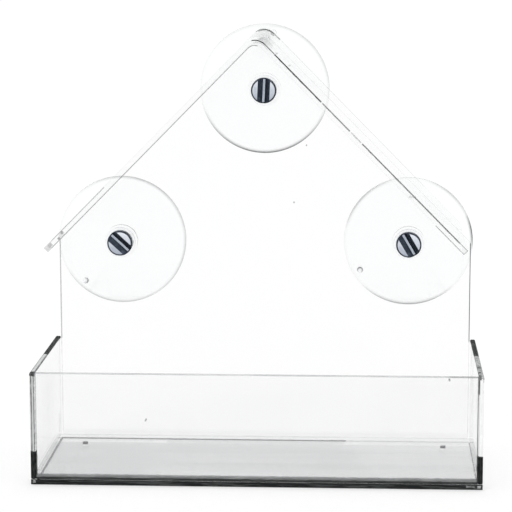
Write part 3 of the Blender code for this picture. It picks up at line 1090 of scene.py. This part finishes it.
@dataclass
class SeedTray:
    """The base plate with the tray's front and its two side walls.

    The CAD solids keep a narrow gap at each solvent seam. The pieces here close it, as the real
    seams do.

    Args:
        arris: Width of the bevels of the plate and the front.
        wall_arris: Width of the bevels of the side walls.
        drain_radius: Radius of the drain holes.
        drain_side_inset: How far the drains stay inside the panel's sides.
        drain_setback: How far they lie ahead of the panel.
        drain_shade: Heights between which a drain's wall takes painted shade.
        edge_reach: How far from an edge of the plate, or below a wall's top, its marks reach.
        wall_edge_reach: How far behind the front a wall's front marks end.
        corner_dark_height: Height up to which the front corners take black painted shade.
        corner_dark_width: How far that painted shade reaches into the front.
        foot_black_height: Height up to which the front's foot takes black painted shade.
        foot_grey_height: Height up to which it takes grey painted shade.
        foot_line: Distance of the walls' seam lines from the panel's middle.
        left_dark_start: Y from which the left wall's top edge takes dark painted shade.
        right_dark_start: Y from which the right wall's top edge takes dark painted shade.
        specks: The (x, z) and half size of the specks on the front.
    """

    arris: float = 0.00022
    wall_arris: float = 0.00040
    drain_radius: float = 0.0010
    drain_side_inset: float = 0.0095
    drain_setback: float = 0.0080
    drain_shade: Flat = (0.0007, 0.0011)
    edge_reach: float = 0.0006
    wall_edge_reach: float = 0.0010
    corner_dark_height: float = 0.0115
    corner_dark_width: float = 0.0001
    foot_black_height: float = 0.0027
    foot_grey_height: float = 0.0031
    foot_line: float = 0.0756
    left_dark_start: float = -0.0020
    right_dark_start: float = 0.0020
    specks: tuple[Spot, ...] = ((-0.03746, 0.0229, 0.00018), (0.06538, 0.0379, 0.0002))

    def shape_box(self, node: str, axis: Axis, holes: Sequence[Spot] = (),
                  arris: float = 0.0) -> Shape:
        """Returns the flat sheet that fills a CAD node's box and closes its solvent seams.

        Args:
            node: The CAD node.
            axis: The direction in which the sheet is thin.
            holes: (u, v, radius) of each hole.
            arris: Width of the bevels, or 0 for the usual width.

        Returns:
            The sheet.
        """
        low, high = (Vector(corner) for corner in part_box(node))
        if node != "tray_floor":
            low.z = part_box("tray_floor")[1].z + WELD
        if node == "tray_front":
            low.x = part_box("tray_side_left")[1].x + WELD
            high.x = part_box("tray_side_right")[0].x - WELD
        kept = [index for index in range(3) if index != axis.value]
        (u_low, v_low), (u_high, v_high) = ([corner[index] for index in kept] for corner in (low, high))
        outline = [(u_low, v_low), (u_high, v_low), (u_high, v_high), (u_low, v_high)]
        return cut_sheet(outline, holes, axis, low[axis.value], high[axis.value], arris or self.arris)

    def dress_floor(self, drains: Sequence[Spot]) -> list[Material]:
        """Returns the base plate's three materials, with painted light and shade and dark drains."""
        low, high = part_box("tray_floor")
        middle_z = (low.z + high.z) / 2
        under, upper = (-FAR, middle_z), (middle_z, FAR)
        front_edge, rear_edge = (-FAR, low.y + self.edge_reach), (high.y - self.edge_reach, FAR)
        # Painted light and shade of the tray's inside on the plate's faces: the grey veil stands in for
        # shade, the band and the two shades are darker, and the clearer strips and the rear zone are painted
        # light. The seams are dark joints.
        clear, floor_shade_tone = Look((0.80, 0.82, 0.83), 0.02), (0.40, 0.42, 0.435)
        lit_strips = tuple(zone(clear, x=span, y=(high.y - start, high.y - end), z=level, softness=0.0010,
                            wobble=0.0010)
                       for span in ((-FAR, -0.036), (0.030, FAR))
                       for start, end, level in ((0.0042, 0.0, under), (0.0112, 0.0062, upper)))
        rear = zone(Look((0.60, 0.62, 0.64), 0.09), y=(high.y - 0.0040, FAR), z=upper, softness=0.002)
        band = zone(Look(floor_shade_tone, 0.19), x=(-0.034, 0.026), y=(high.y - 0.0140, high.y - 0.0104),
                    z=upper, softness=0.0018, wobble=0.0012)
        shade = zone(Look(floor_shade_tone, 0.155, (0.32, 0.34, 0.35)), x=(-FAR, 0.030),
                     y=(-0.006, 0.020), softness=0.012, wobble=0.006)
        left_shade = zone(Look(floor_shade_tone, 0.165, (0.30, 0.32, 0.33)), x=(-FAR, -0.046),
                          y=(-0.024, 0.008), softness=0.014, wobble=0.006)
        seams = tuple(
            zone(look, x=(side * self.foot_line - half, side * self.foot_line + half), z=under,
                 softness=0.00022, wobble=wobble)
            for side, half, wobble, look in (
                (-1, 0.00034, 0.0002, Look((0.02, 0.02, 0.030), 1.0)),
                (1, 0.00016, 0.0008, Look((0.12, 0.12, 0.14), 0.82))))
        face = SheetFinish("floor_face", Look((0.42, 0.44, 0.455), 0.115, (0.34, 0.36, 0.37)),
                           (shade, left_shade) + lit_strips + (rear, band) + seams, smear_cover=0.02,
                           streak_cover=0.045, mark_scale=16.0, grain=(0.05, 1.0, 1.0), streak_scale=260.0,
                           gloss=0.16, sheen=0.5, roughness=0.06)
        # Painted shade on the plate's edges: the front edge black, with painted highlights near its ends, and
        # dark lines along the rear foot.
        front = zone(Look((0.022, 0.024, 0.024), 1.0, (0.085, 0.09, 0.09)), y=front_edge, wobble=0.0)
        glints = tuple(zone(Look(tone, 0.85, (0.10, 0.105, 0.105)), x=(start, end), y=front_edge,
                            z=(middle_z - drop, middle_z + rise), softness=0.0003, wobble=0.0012)
                       for tone, start, end, drop, rise in (
                           ((0.30, 0.31, 0.31), high.x - 0.0054, high.x - 0.0030, 0.0, 0.0003),
                           ((0.65, 0.67, 0.67), high.x - 0.0015, high.x - 0.0008, 0.0003, 0.0002),
                           ((0.35, 0.36, 0.36), low.x + 0.0010, low.x + 0.0014, 0.0, 0.0005)))
        rear_line = zone(Look((0.26, 0.27, 0.28), 0.40), y=rear_edge, z=(-FAR, low.z + 0.0003),
                         softness=0.0002, wobble=0.0002)
        rear_foot = zone(Look((0.085, 0.088, 0.09), 0.84), x=(-self.foot_line, 0.030),
                         y=rear_edge, z=(-FAR, low.z + 0.00036), softness=0.0002, wobble=0.0002)
        dark = (front,) + glints + (rear_line, rear_foot)
        # Painted shade in the drains' bores.
        holes = tuple(zone(Look((0.03, 0.031, 0.033), 0.92), x=(x - 2 * radius, x + 2 * radius),
                           y=(y - 2 * radius, y + 2 * radius), z=self.drain_shade, softness=0.0001,
                           wobble=0.0004) for x, y, radius in drains)
        cut = SheetFinish("floor_cut_edge", Look((0.55, 0.58, 0.59), 0.07, (0.40, 0.42, 0.43)),
                          dark + holes, streak_cover=0.04)
        faint_rear = zone(Look((0.60, 0.62, 0.63), 0.02), y=rear_edge, z=upper, wobble=0.0)
        arris = SheetFinish("floor_arris", Look((0.45, 0.47, 0.48), 0.05), (faint_rear,) + dark)
        return dress(face, cut, arris)

    def dress_front(self) -> list[Material]:
        """Returns the front's three materials, with painted shade on its foot and corners."""
        left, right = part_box("tray_side_left")[1].x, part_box("tray_side_right")[0].x
        # Painted shade: black and grey bands along the foot, black corners, and a darker right end on the
        # arris.
        black = Look((0.020, 0.022, 0.022), 1.0, (0.075, 0.08, 0.08))
        grey = Look((0.26, 0.27, 0.27), 0.80, (0.40, 0.41, 0.41))
        above = zone(grey, z=(-FAR, self.foot_grey_height), softness=0.0006, wobble=0.0004)
        foot = zone(black, z=(-FAR, self.foot_black_height), softness=0.0002, wobble=0.0004)
        corners = tuple(zone(black, x=span, z=(-FAR, self.corner_dark_height), softness=0.0003, wobble=0.0005)
                        for span in ((-FAR, left + self.corner_dark_width),
                                     (right - self.corner_dark_width, FAR)))
        right_end = zone(Look((0.20, 0.21, 0.21), 0.80), x=(right - 0.0080, FAR),
                         z=(self.foot_grey_height * 2, FAR), softness=0.004)
        dark = (above, foot) + corners
        specks = tuple(Patch((x - size, -FAR, z - size), (x + size, FAR, z + size),
                             Look((0.06, 0.06, 0.06), 0.60), softness=0.0002, wobble=0.0004)
                       for x, z, size in self.specks)
        face = SheetFinish("tray_front_face", Look((0.60, 0.62, 0.63), 0.034), specks + dark,
                           smear_cover=0.020, mark_scale=18.0, gloss=0.12, sheen=0.3, roughness=0.05)
        cut = SheetFinish("tray_front_cut_edge", Look((0.50, 0.53, 0.54), 0.26, (0.30, 0.32, 0.33)),
                          dark, streak_cover=0.10)
        arris = SheetFinish("tray_front_arris", Look((0.34, 0.36, 0.37), 0.46), (right_end,) + dark,
                            streak_cover=0.10)
        return dress(face, cut, arris)

    def dress_side(self, side: Side) -> list[Material]:
        """Returns the three materials of one side wall, with painted light and shade on its edges."""
        low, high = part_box(f"tray_side_{side.value}")
        dark_start = self.left_dark_start if side is Side.LEFT else self.right_dark_start
        near, top = low.y + self.wall_edge_reach, high.z - self.edge_reach
        front_edge, at_top = (-FAR, near), (top, FAR)
        # Painted shade: the front corner is black up to corner_dark_height, and the top edge dark from
        # dark_start back.
        black = Look((0.018, 0.020, 0.020), 1.0, (0.06, 0.064, 0.064))
        corner = zone(black, y=front_edge, z=(-FAR, self.corner_dark_height), softness=0.0004,
                      wobble=0.0010)
        rear_top = zone(Look((0.046, 0.049, 0.048), 0.97, (0.085, 0.09, 0.09)),
                        y=(dark_start, FAR), z=at_top, softness=0.0012, wobble=0.0030)
        rear_edge = zone(Look((0.5, 0.52, 0.53), 0.06), y=(high.y - 0.001, FAR), wobble=0.0)
        seam = zone(Look((0.30, 0.30, 0.32), 0.16), z=(-FAR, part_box("tray_floor")[1].z + 0.0006),
                    softness=0.0005, wobble=0.0004)
        smudge = Patch((-FAR, -0.001, 0.014), (FAR, 0.006, 0.026), Look((0.55, 0.58, 0.58), 0.07),
                       softness=0.009, wobble=0.014)
        foot = zone(Look((0.50, 0.51, 0.52), 0.05), y=(near, FAR), z=(-FAR, low.z + 0.0010), wobble=0.0)
        face = SheetFinish(f"tray_{side.value}_face", Look((0.74, 0.78, 0.78), 0.016), (smudge, seam),
                           smear_cover=0.018, gloss=0.10, sheen=0.3, roughness=0.06)
        if side is Side.LEFT:
            knob = zone(Look((0.035, 0.037, 0.037), 0.95, (0.12, 0.125, 0.125)), y=(-FAR, near + 0.0016),
                        z=(high.z - 0.0008, FAR), softness=0.0004, wobble=0.0016)
            # Painted light and shade: the left wall's cut edge and arris read a lighter, more solid grey than
            # the right wall's, and dark lines run along its top and front arrises.
            cut_look = Look((0.56, 0.585, 0.585), 0.60, (0.40, 0.42, 0.42))
            arris_look = Look((0.42, 0.44, 0.44), 0.30)
            drawn = Look((0.035, 0.037, 0.037), 0.82, (0.26, 0.27, 0.27))
            lines = (zone(drawn, z=at_top, wobble=0.0),)
            drawn_upright = tuple(
                zone(drawn, x=span, y=front_edge, z=(-FAR, top), softness=0.0001, wobble=0.0003)
                for span in ((low.x + 0.00040, low.x + 0.00072), (high.x - 0.00044, high.x - 0.00018)))
            patches = (rear_edge,) + drawn_upright + (rear_top, knob, corner)
        else:
            inner = (low.x + self.wall_arris / 4, low.x + self.wall_arris)
            # Painted shade on the right wall: grey on the front of the top edge, dark bits along its inner
            # edge, and dark lines along the arrises.
            grey_top = zone(Look((0.24, 0.25, 0.25), 0.80, (0.50, 0.51, 0.51)), y=(low.y + 0.0015, FAR),
                            z=at_top, softness=0.0010, wobble=0.0026)
            inner_top_shades = tuple(
                zone(Look((0.05, 0.053, 0.055), 0.85), x=(low.x + inset, low.x + inset + 0.0007),
                     y=(low.y + start, low.y + end), z=at_top, softness=0.0006, wobble=0.0012)
                for inset, start, end in (
                    (0.0, 0.0, 0.0042), (0.0003, 0.0145, 0.0170), (0.0001, 0.0070, 0.0084)))
            patches = (rear_edge, grey_top) + inner_top_shades + (rear_top, corner)
            cut_look = Look((0.60, 0.63, 0.63), 0.035, (0.45, 0.46, 0.46))
            arris_look = Look((0.50, 0.52, 0.53), 0.10, (0.35, 0.36, 0.36))
            outline = zone(Look((0.10, 0.105, 0.105), 0.75, (0.30, 0.31, 0.31)), z=at_top, wobble=0.0)
            line = zone(Look((0.22, 0.23, 0.23), 0.34, (0.40, 0.41, 0.41)), x=inner, y=front_edge,
                        softness=0.0001, wobble=0.0)
            flecked = zone(Look((0.035, 0.037, 0.037), 0.92, (0.22, 0.23, 0.23)), x=inner, y=front_edge,
                           z=(high.z - 0.0056, FAR), softness=0.0012, wobble=0.003)
            outer = zone(Look((0.35, 0.36, 0.36), 0.40), x=(high.x - self.wall_arris, FAR), y=front_edge,
                         z=(high.z - 0.0014, FAR), softness=0.0006)
            lines = (line, flecked, outer, outline)
        cut = SheetFinish(f"tray_{side.value}_cut_edge", cut_look, (foot,) + patches, streak_cover=0.12,
                          streak_scale=1500.0, grain=(1.0, 0.5, 0.16))
        arris = SheetFinish(f"tray_{side.value}_arris", arris_look, lines + (foot,) + patches,
                            streak_scale=1600.0, grain=(1.0, 0.3, 0.35))
        return dress(face, cut, arris)

    def build(self, shop: Workshop) -> None:
        """Makes and dresses the four pieces of the tray."""
        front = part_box("back_panel")[0].y
        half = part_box("back_panel")[1].x
        drains = [(side * (half - self.drain_side_inset), front - self.drain_setback, self.drain_radius)
                  for side in (-1, 1)]
        shop.fit(self.shape_box("tray_floor", Axis.Z, drains), "tray_base_plate", "tray_floor",
                 self.dress_floor(drains))
        shop.fit(self.shape_box("tray_front", Axis.Y), "tray_front_pane", "tray_front",
                 self.dress_front())
        for side in Side:
            node = f"tray_side_{side.value}"
            shape = self.shape_box(node, Axis.X, arris=self.wall_arris)
            shop.fit(shape, f"tray_{side.value}_wall", node, self.dress_side(side))


@dataclass
class SuctionMount:
    """A soft cup with its insert, washer and screw.

    Depths such as lip_plane and head_front count along Y from the panel's front, so a negative one
    lies in front of the panel. A value whose name ends in share is a part of the size it follows.

    Args:
        station: Which of the three places it takes.
        finishes: Materials by their short names, shared by the three mounts.
    """

    station: Station
    finishes: dict[str, Material]
    cup_radius: float = 0.0235
    lip_thickness: float = 0.0008
    lip_width: float = 0.0014
    recess: float = 0.0018
    sweep: float = 1.6
    collar_radius: float = 0.006
    collar_back: float = 0.0033
    cup_seat: float = 0.0021
    neck_tip: float = 0.0003
    neck_radius: float = 0.00395
    neck_bore_radius: float = 0.00325
    bore_end: float = 0.0041
    centre_back: float = 0.0051
    lip_plane: float = 0.0069
    stub_radius: float = 0.0011
    stub_height: float = 0.0009
    stub_inset: float = 0.0030
    insert_radius: float = 0.00295
    insert_bore_radius: float = 0.00225
    insert_end: float = 0.0038
    groove_depth: float = 0.0003
    groove_width: float = 0.0010
    washer_radius: float = 0.0055
    washer_back: float = -0.0003
    washer_front: float = -0.0009
    shank_radius: float = 0.00195
    shank_end: float = 0.0036
    shank_chamfer: float = 0.0004
    head_radius: float = 0.0046
    head_back: float = -0.0012
    head_front: float = -0.0034
    head_rim: float = 0.0005
    ring_inset: float = 0.00058
    slot_top_width: float = 0.0044
    slot_floor_width: float = 0.0008
    slot_depth: float = 0.0014
    slot_overrun: float = 0.001
    slot_end: float = 0.0005
    dome_steps: int = 20
    cup_sides: int = 128
    small_sides: int = 64
    edge_round: float = 0.00018
    rim_width: float = 0.00038
    washer_rim_shade: float = 0.03
    washer_play: float = 0.0003
    washer_rim: float = 0.00027
    rim_steps: int = 6
    dimple_share: float = 0.55
    dimple_edge_share: float = 0.60
    dimple_floor_share: float = 0.55
    stub_root_share: float = 0.4
    stub_rim_share: float = 0.7

    def place(self, shape: Shape, turn: float = 0.0) -> Shape:
        """Stores the piece's own coordinates, turns it and moves it to its place in the row frame.

        Args:
            shape: The piece, round the Y axis with the panel's front at y = 0.
            turn: Angle from +X to which its own X axis is turned, in degrees.

        Returns:
            The same shape.
        """
        layer = shape.verts.layers.float_vector.new(TURNED)
        for vert in shape.verts:
            vert[layer] = vert.co
        if turn:
            spin = Matrix.Rotation(-math.radians(turn), 3, "Y")
            bmesh.ops.rotate(shape, cent=ORIGIN, matrix=spin, verts=shape.verts)
        x, z = self.station.centre()
        bmesh.ops.translate(shape, vec=(x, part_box("back_panel")[0].y, z), verts=shape.verts)
        return shape

    @staticmethod
    def set_rim(verts: Iterable[bmesh.types.BMVert], layer: bmesh.types.BMLayerItem, start: float,
                share: Callable[[float], float]) -> None:
        """Marks how dark the rim of a round piece is.

        Args:
            verts: The piece's vertices, round the Y axis.
            layer: The layer that takes the painted shade.
            start: Radius past which a vertex belongs to the rim.
            share: Function from the angle in degrees to the painted shade.
        """
        for vert in verts:
            angle = math.degrees(math.atan2(vert.co.z, vert.co.x))
            vert[layer] = share(angle) if math.hypot(vert.co.x, vert.co.z) > start else 0.0

    def front_skin(self, radius: float) -> float:
        """Returns where the cup's front skin lies at a distance from its axis."""
        share = (radius - self.collar_radius) / (self.cup_radius - self.collar_radius)
        drop = self.lip_plane - self.lip_thickness - self.collar_back
        return self.collar_back + drop * share ** self.sweep

    def cup_profile(self) -> list[Flat]:
        """Returns the half section of the cup."""
        hollow = self.cup_radius - self.lip_width
        neck_root = (self.neck_radius, self.cup_seat)
        collar_front = (self.collar_radius, self.cup_seat)
        collar_rear = (self.collar_radius, self.collar_back)
        tip_out, tip_in = (self.neck_radius, self.neck_tip), (self.neck_bore_radius, self.neck_tip)
        points = [(0.0, self.bore_end), (self.neck_bore_radius, self.bore_end), tip_in]
        points += round_corner(tip_in, tip_out, neck_root, self.edge_round)
        points += [neck_root]
        points += round_corner(neck_root, collar_front, collar_rear, self.edge_round)
        for step in range(self.dome_steps):
            radius = self.collar_radius + (self.cup_radius - self.collar_radius) * step / self.dome_steps
            points.append((radius, self.front_skin(radius)))
        skin_end = (self.cup_radius, self.front_skin(self.cup_radius))
        lip_end = (self.cup_radius, self.lip_plane)
        inner_end = (hollow, self.centre_back + self.recess)
        points += round_corner(points[-1], skin_end, lip_end, self.edge_round)
        points += round_corner(skin_end, lip_end, inner_end, self.edge_round)
        for step in range(self.dome_steps):
            share = 1 - step / self.dome_steps
            points.append((hollow * share, self.centre_back + self.recess * share ** self.sweep))
        points.append((0.0, self.centre_back))
        return points

    def shape_cup(self) -> Shape:
        """Returns the cup with its gate stub."""
        shape = turn_profile(self.cup_profile(), self.cup_sides)
        # Painted shade on the cup's rim and on the stub's rim, by angle.
        layer = shape.verts.layers.float.new(RIM_SHARE)
        self.set_rim(shape.verts, layer, self.cup_radius - self.rim_width, self.station.rim_share)
        before = set(shape.verts)
        dimple = (self.stub_radius * self.dimple_share, -self.stub_height * self.dimple_edge_share)
        stub = [(0.0, -self.stub_height * self.dimple_floor_share), dimple]
        stub += round_corner(dimple, (self.stub_radius, -self.stub_height), (self.stub_radius, 0.0),
                             self.edge_round)
        root = self.lip_thickness * self.stub_root_share
        stub += [(self.stub_radius, root), (0.0, root)]
        spin_round(shape, stub, self.small_sides // 2)
        fresh = [vert for vert in shape.verts if vert not in before]
        bmesh.ops.remove_doubles(shape, verts=fresh, dist=MERGE_DISTANCE)
        fresh = [vert for vert in shape.verts if vert not in before]
        self.set_rim(fresh, layer, self.stub_radius * self.stub_rim_share, self.station.stub_arc.at)
        turn, reach = math.radians(self.station.stub_turn), self.cup_radius - self.stub_inset
        place = (reach * math.cos(turn), self.front_skin(reach), reach * math.sin(turn))
        bmesh.ops.translate(shape, vec=place, verts=fresh)
        bmesh.ops.recalc_face_normals(shape, faces=shape.faces)
        return self.place(shape)

    def shape_insert(self) -> Shape:
        """Returns the grooved bush in the cup's neck."""
        middle = (self.neck_tip + self.insert_end) / 2
        groove_start, groove_end = middle - self.groove_width / 2, middle + self.groove_width / 2
        groove_radius = self.insert_radius - self.groove_depth
        profile = [
            (self.insert_bore_radius, self.neck_tip), (self.insert_radius, self.neck_tip),
            (self.insert_radius, groove_start), (groove_radius, groove_start),
            (groove_radius, groove_end), (self.insert_radius, groove_end),
            (self.insert_radius, self.insert_end), (self.insert_bore_radius, self.insert_end),
        ]
        return self.place(turn_profile(profile, self.small_sides, closed=True))

    def shape_washer(self) -> Shape:
        """Returns the flat washer with its rounded edge."""
        inner = self.shank_radius + self.washer_play
        corners = [(inner, self.washer_front), (self.washer_radius, self.washer_front),
                   (self.washer_radius, self.washer_back), (inner, self.washer_back)]
        profile = [corners[0], *round_corner(*corners[:3], self.edge_round),
                   *round_corner(*corners[1:], self.edge_round), corners[3]]
        shape = turn_profile(profile, self.small_sides * 2, closed=True)
        # Painted shade: a faint ring all round the washer's rim.
        self.set_rim(shape.verts, shape.verts.layers.float.new(RIM_SHARE),
                     self.washer_radius - self.washer_rim, lambda angle: self.washer_rim_shade)
        return self.place(shape)

    def screw_profile(self) -> list[Flat]:
        """Returns the half section of the screw."""
        points = [(0.0, self.head_front), (self.head_radius - self.ring_inset, self.head_front)]
        for step in range(self.rim_steps + 1):
            turn = math.pi / 2 * step / self.rim_steps
            points.append((self.head_radius - self.head_rim * (1 - math.sin(turn)),
                           self.head_front + self.head_rim * (1 - math.cos(turn))))
        points += [
            (self.head_radius, self.head_back), (self.shank_radius, self.head_back),
            (self.shank_radius, self.shank_end - self.shank_chamfer),
            (self.shank_radius - self.shank_chamfer, self.shank_end), (0.0, self.shank_end),
        ]
        return points

    def slot_wedge(self) -> Shape:
        """Returns the wedge that cuts the slot, with its walls and floor as zones."""
        draft = (self.slot_top_width - self.slot_floor_width) / 2 / self.slot_depth
        mouth = self.slot_top_width / 2 + draft * self.slot_overrun
        floor = self.slot_floor_width / 2
        reach = self.head_radius + self.slot_overrun
        mouth_y, floor_y = self.head_front - self.slot_overrun, self.head_front + self.slot_depth
        wedge = bmesh.new()
        section = [(-mouth, mouth_y), (mouth, mouth_y), (floor, floor_y), (-floor, floor_y)]
        face = wedge.faces.new([wedge.verts.new((-reach, y, z)) for z, y in section])
        raise_faces(wedge, [face], Vector((2 * reach, 0.0, 0.0)))
        for side in wedge.faces:
            side.material_index = MetalZone.GROOVE if side.normal.y > FLAT_NORMAL else MetalZone.WALL
        return wedge

    def shape_screw(self) -> Shape:
        """Returns the slotted screw, cut by its wedge and turned to its own angle."""
        shape = turn_profile(self.screw_profile(), self.small_sides * 2)
        # The rounded rim takes the rim's painted shade; the flats keep the plating.
        for side in shape.faces:
            middle = side.calc_center_median()
            radius = math.hypot(middle.x, middle.z)
            rounded = radius > self.head_radius - self.ring_inset
            on_rim = rounded and middle.y < self.head_back - self.edge_round
            side.material_index = MetalZone.RIM if on_rim else MetalZone.FLAT
        blank, cutter = (as_object(label, part, [None] * len(MetalZone)) for label, part in
                         (("screw_blank", shape), ("slot_wedge", self.slot_wedge())))
        cut = blank.modifiers.new("slot", "BOOLEAN")
        cut.operation, cut.solver, cut.object = "DIFFERENCE", "EXACT", cutter
        cut.material_mode = "INDEX"
        view = bpy.context.evaluated_depsgraph_get()
        result = bmesh.new()
        result.from_mesh(blank.evaluated_get(view).to_mesh())
        for scrap in (blank, cutter):
            bpy.data.objects.remove(scrap, do_unlink=True)
        close_up(result)
        self.shade_slot_ends(result)
        self.place(result, self.station.slot_turn)
        # Painted shade: share of the head's lower half, 0 at its top and 1 at its bottom.
        layer, middle = result.verts.layers.float.new(LOW_SHARE), self.station.centre()[1]
        for vert in result.verts:
            vert[layer] = 0.5 - (vert.co.z - middle) / self.head_radius / 2
        return result

    def shade_slot_ends(self, shape: Shape) -> None:
        """Gives the slot's floor the rim's painted shade at its two ends."""
        reach = self.head_radius - self.slot_end
        for way in (-Axis.X.unit(), Axis.X.unit()):
            bmesh.ops.bisect_plane(shape, geom=shape.verts[:] + shape.edges[:] + shape.faces[:],
                                   dist=MERGE_DISTANCE, plane_co=way * reach, plane_no=way)
        for face in shape.faces:
            if face.material_index == MetalZone.GROOVE and abs(face.calc_center_median().x) > reach:
                face.material_index = MetalZone.RIM

    def build(self, shop: Workshop) -> None:
        """Makes and dresses the four pieces of the mount."""
        name, use = self.station.name, self.finishes
        shop.fit(self.shape_cup(), f"soft_cup_{name}", f"suction_cup_{name}", [use["cup"]], True)
        shop.fit(self.shape_insert(), f"grooved_bush_{name}", f"threaded_insert_{name}",
                 [use["bush"]], True)
        shop.fit(self.shape_washer(), f"clear_washer_{name}", f"washer_{name}", [use["washer"]], True)
        shop.fit(self.shape_screw(), f"slotted_screw_{name}", f"screw_{name}",
                 [use["flat"], use["rim"], use["wall"], use["groove"]], True)


def mount_finishes() -> dict[str, Material]:
    """Returns the materials that the three mounts share."""
    return {
        "cup": SoftVinyl("cup_vinyl").make(),
        "washer": SoftVinyl("washer_vinyl", bending=1.18).make(),
        "bush": Plating("bush_plating", (0.60, 0.62, 0.66), (0.40, 0.42, 0.45)).make(),
        "flat": Plating("head_plating", (0.90, 0.94, 1.0), (0.34, 0.38, 0.46), stains=0.25,
                        lines=0.18, low_shade=0.92).make(),
        # The rim, the slot's walls and the slot's floor are painted shade, darker copies of the head's
        # plating.
        "rim": Plating("rim_painted_shade", (0.040, 0.046, 0.060), (0.16, 0.18, 0.22), 0.3, 0.2).make(),
        "wall": Plating("slot_wall_painted_shade", (0.029, 0.037, 0.052), (0.08, 0.10, 0.13), 0.38, 0.3).make(),
        "groove": Plating("slot_floor_painted_shade", (0.52, 0.57, 0.65), (0.25, 0.29, 0.35), 0.3, 0.6).make(),
    }


@dataclass
class Lamp:
    """A wide soft light that reaches every place alike.

    Args:
        name: The lamp's name.
        way: Direction from the object towards the lamp.
        width: Angle that the lamp fills, in degrees; wider is softer.
        level: Light that it adds to a surface facing it, where 1 shows a white surface as white.
    """

    name: str
    way: Place
    width: float
    level: float

    def light(self) -> None:
        """Adds the lamp, facing the object."""
        data = bpy.data.lights.new(self.name, "SUN")
        data.angle, data.energy = math.radians(self.width), self.level * math.pi
        lamp = link(self.name, data)
        lamp.location = self.way
        lamp.rotation_euler = Vector(self.way).to_track_quat("Z", "Y").to_euler()


@dataclass
class Studio:
    """The pale floor, the white surroundings, the lamps and the camera.

    Args:
        floor_reach: Half size of the floor.
        floor_drop: How far the floor lies below the object.
        floor_colour: Colour of the floor.
        floor_lift: White that the floor adds to what the camera, metal and clear parts see.
        floor_roughness: Roughness of the floor.
        world_level: Strength of the surroundings as light.
        frame_pixels: Width of the picture in pixels.
        sensor: Width of the camera's sensor in millimetres.
        focal_pixels: Focal length in pixels of the 512 pixel frame.
        eye: Place of the camera.
        yaw: Turn of the view from +Y towards +X, in degrees.
        pitch: How far the view looks down, in degrees.
        roll: Turn of the camera about its view, in degrees.
        clip: Nearest and farthest distance that the camera shows.
        lamps: The lamps.
    """

    floor_reach: float = 6.0
    floor_drop: float = 0.0003
    floor_colour: Colour = (0.50, 0.50, 0.50)
    floor_lift: float = 0.512
    floor_roughness: float = 0.9
    world_level: float = 0.85
    frame_pixels: int = 512
    sensor: float = 36.0
    focal_pixels: float = 2105.06
    eye: Place = (0.036549, -0.727631, 0.194756)
    yaw: float = -2.992
    pitch: float = 9.381
    roll: float = -0.088
    clip: Flat = (0.01, 50.0)
    lamps: tuple[Lamp, ...] = (
        Lamp("key_light", (-0.8, -1.0, 1.1), 22.0, 0.12),
        Lamp("fill_light", (1.0, -0.8, 0.7), 40.0, 0.07),
        Lamp("top_light", (0.1, 0.3, 1.0), 50.0, 0.06),
    )

    def lay_floor(self) -> None:
        """Adds a plain pale floor that keeps the object's shadow."""
        material, tree, shader = new_material("floor_paper")
        tree.fill(shader, {"Base Color": self.floor_colour, "Roughness": self.floor_roughness,
                           "Specular IOR Level": 0.0})
        white = tree.add("Emission", {"Color": WHITE, "Strength": self.floor_lift}).outputs[0]
        both = tree.add("AddShader", {0: shader.outputs[0], 1: white}).outputs[0]
        seen = self.seen_share(tree)
        mixed = tree.add("MixShader", {0: seen, 1: shader.outputs[0], 2: both}).outputs[0]
        tree.fill(material.node_tree.nodes["Material Output"], {"Surface": mixed})
        shape = bmesh.new()
        bmesh.ops.create_grid(shape, x_segments=2, y_segments=2, size=self.floor_reach,
                              matrix=Matrix.Translation((0, 0, -self.floor_drop)))
        as_object("studio_floor", shape, [material])

    @staticmethod
    def seen_share(tree: Tree) -> Socket:
        """Returns 1 for rays that show a surface or its mirror image, and 0 for those that light."""
        path = tree.add("LightPath").outputs
        share = tree.maths("MAXIMUM", path["Is Camera Ray"], path["Is Glossy Ray"])
        return tree.maths("MAXIMUM", share, path["Is Transmission Ray"])

    def surround(self) -> None:
        """Sets white surroundings that light the object at a plain level."""
        world = bpy.data.worlds.new("white_surroundings")
        world.use_nodes = True
        tree = Tree(world.node_tree)
        background = world.node_tree.nodes["Background"]
        strength = tree.level(self.seen_share(tree), self.world_level, 1.0)
        tree.fill(background, {"Color": WHITE, "Strength": strength})
        bpy.context.scene.world = world

    def set_camera(self) -> None:
        """Puts the camera at the photograph's viewing angle."""
        yaw, pitch, roll = (math.radians(angle) for angle in (self.yaw, self.pitch, self.roll))
        ahead = Vector((math.sin(yaw) * math.cos(pitch), math.cos(yaw) * math.cos(pitch), -math.sin(pitch)))
        right = Vector((math.cos(yaw), -math.sin(yaw), 0.0))
        up = right.cross(ahead)
        across = right * math.cos(roll) + up * math.sin(roll)
        upright = up * math.cos(roll) - right * math.sin(roll)
        turn = Matrix((across, upright, -ahead)).transposed().to_4x4()
        data = bpy.data.cameras.new("photo_camera")
        data.sensor_width = self.sensor
        data.lens = self.focal_pixels * self.sensor / self.frame_pixels
        data.clip_start, data.clip_end = self.clip
        camera = link("photo_camera", data)
        camera.matrix_world = Matrix.Translation(self.eye) @ turn
        bpy.context.scene.camera = camera

    def build(self) -> None:
        """Sets up everything round the object."""
        self.lay_floor()
        self.surround()
        self.set_camera()
        for lamp in self.lamps:
            lamp.light()
        bpy.context.scene.view_settings.view_transform = "Standard"
        LOG.info("studio: floor, surroundings, camera and %d lamps", len(self.lamps))


def main() -> None:
    """Builds the feeder's looks, then the studio, and logs how many pieces were made."""
    logging.basicConfig(level=logging.INFO, format="%(message)s")
    shop = Workshop(frame["record"])
    AcrylicHouse().build(shop)
    SeedTray().build(shop)
    finishes = mount_finishes()
    for station in STATIONS:
        SuctionMount(station, finishes).build(shop)
    Studio().build()
    LOG.info("%d pieces made", len(shop.made))


if __name__ == "__main__":
    main()
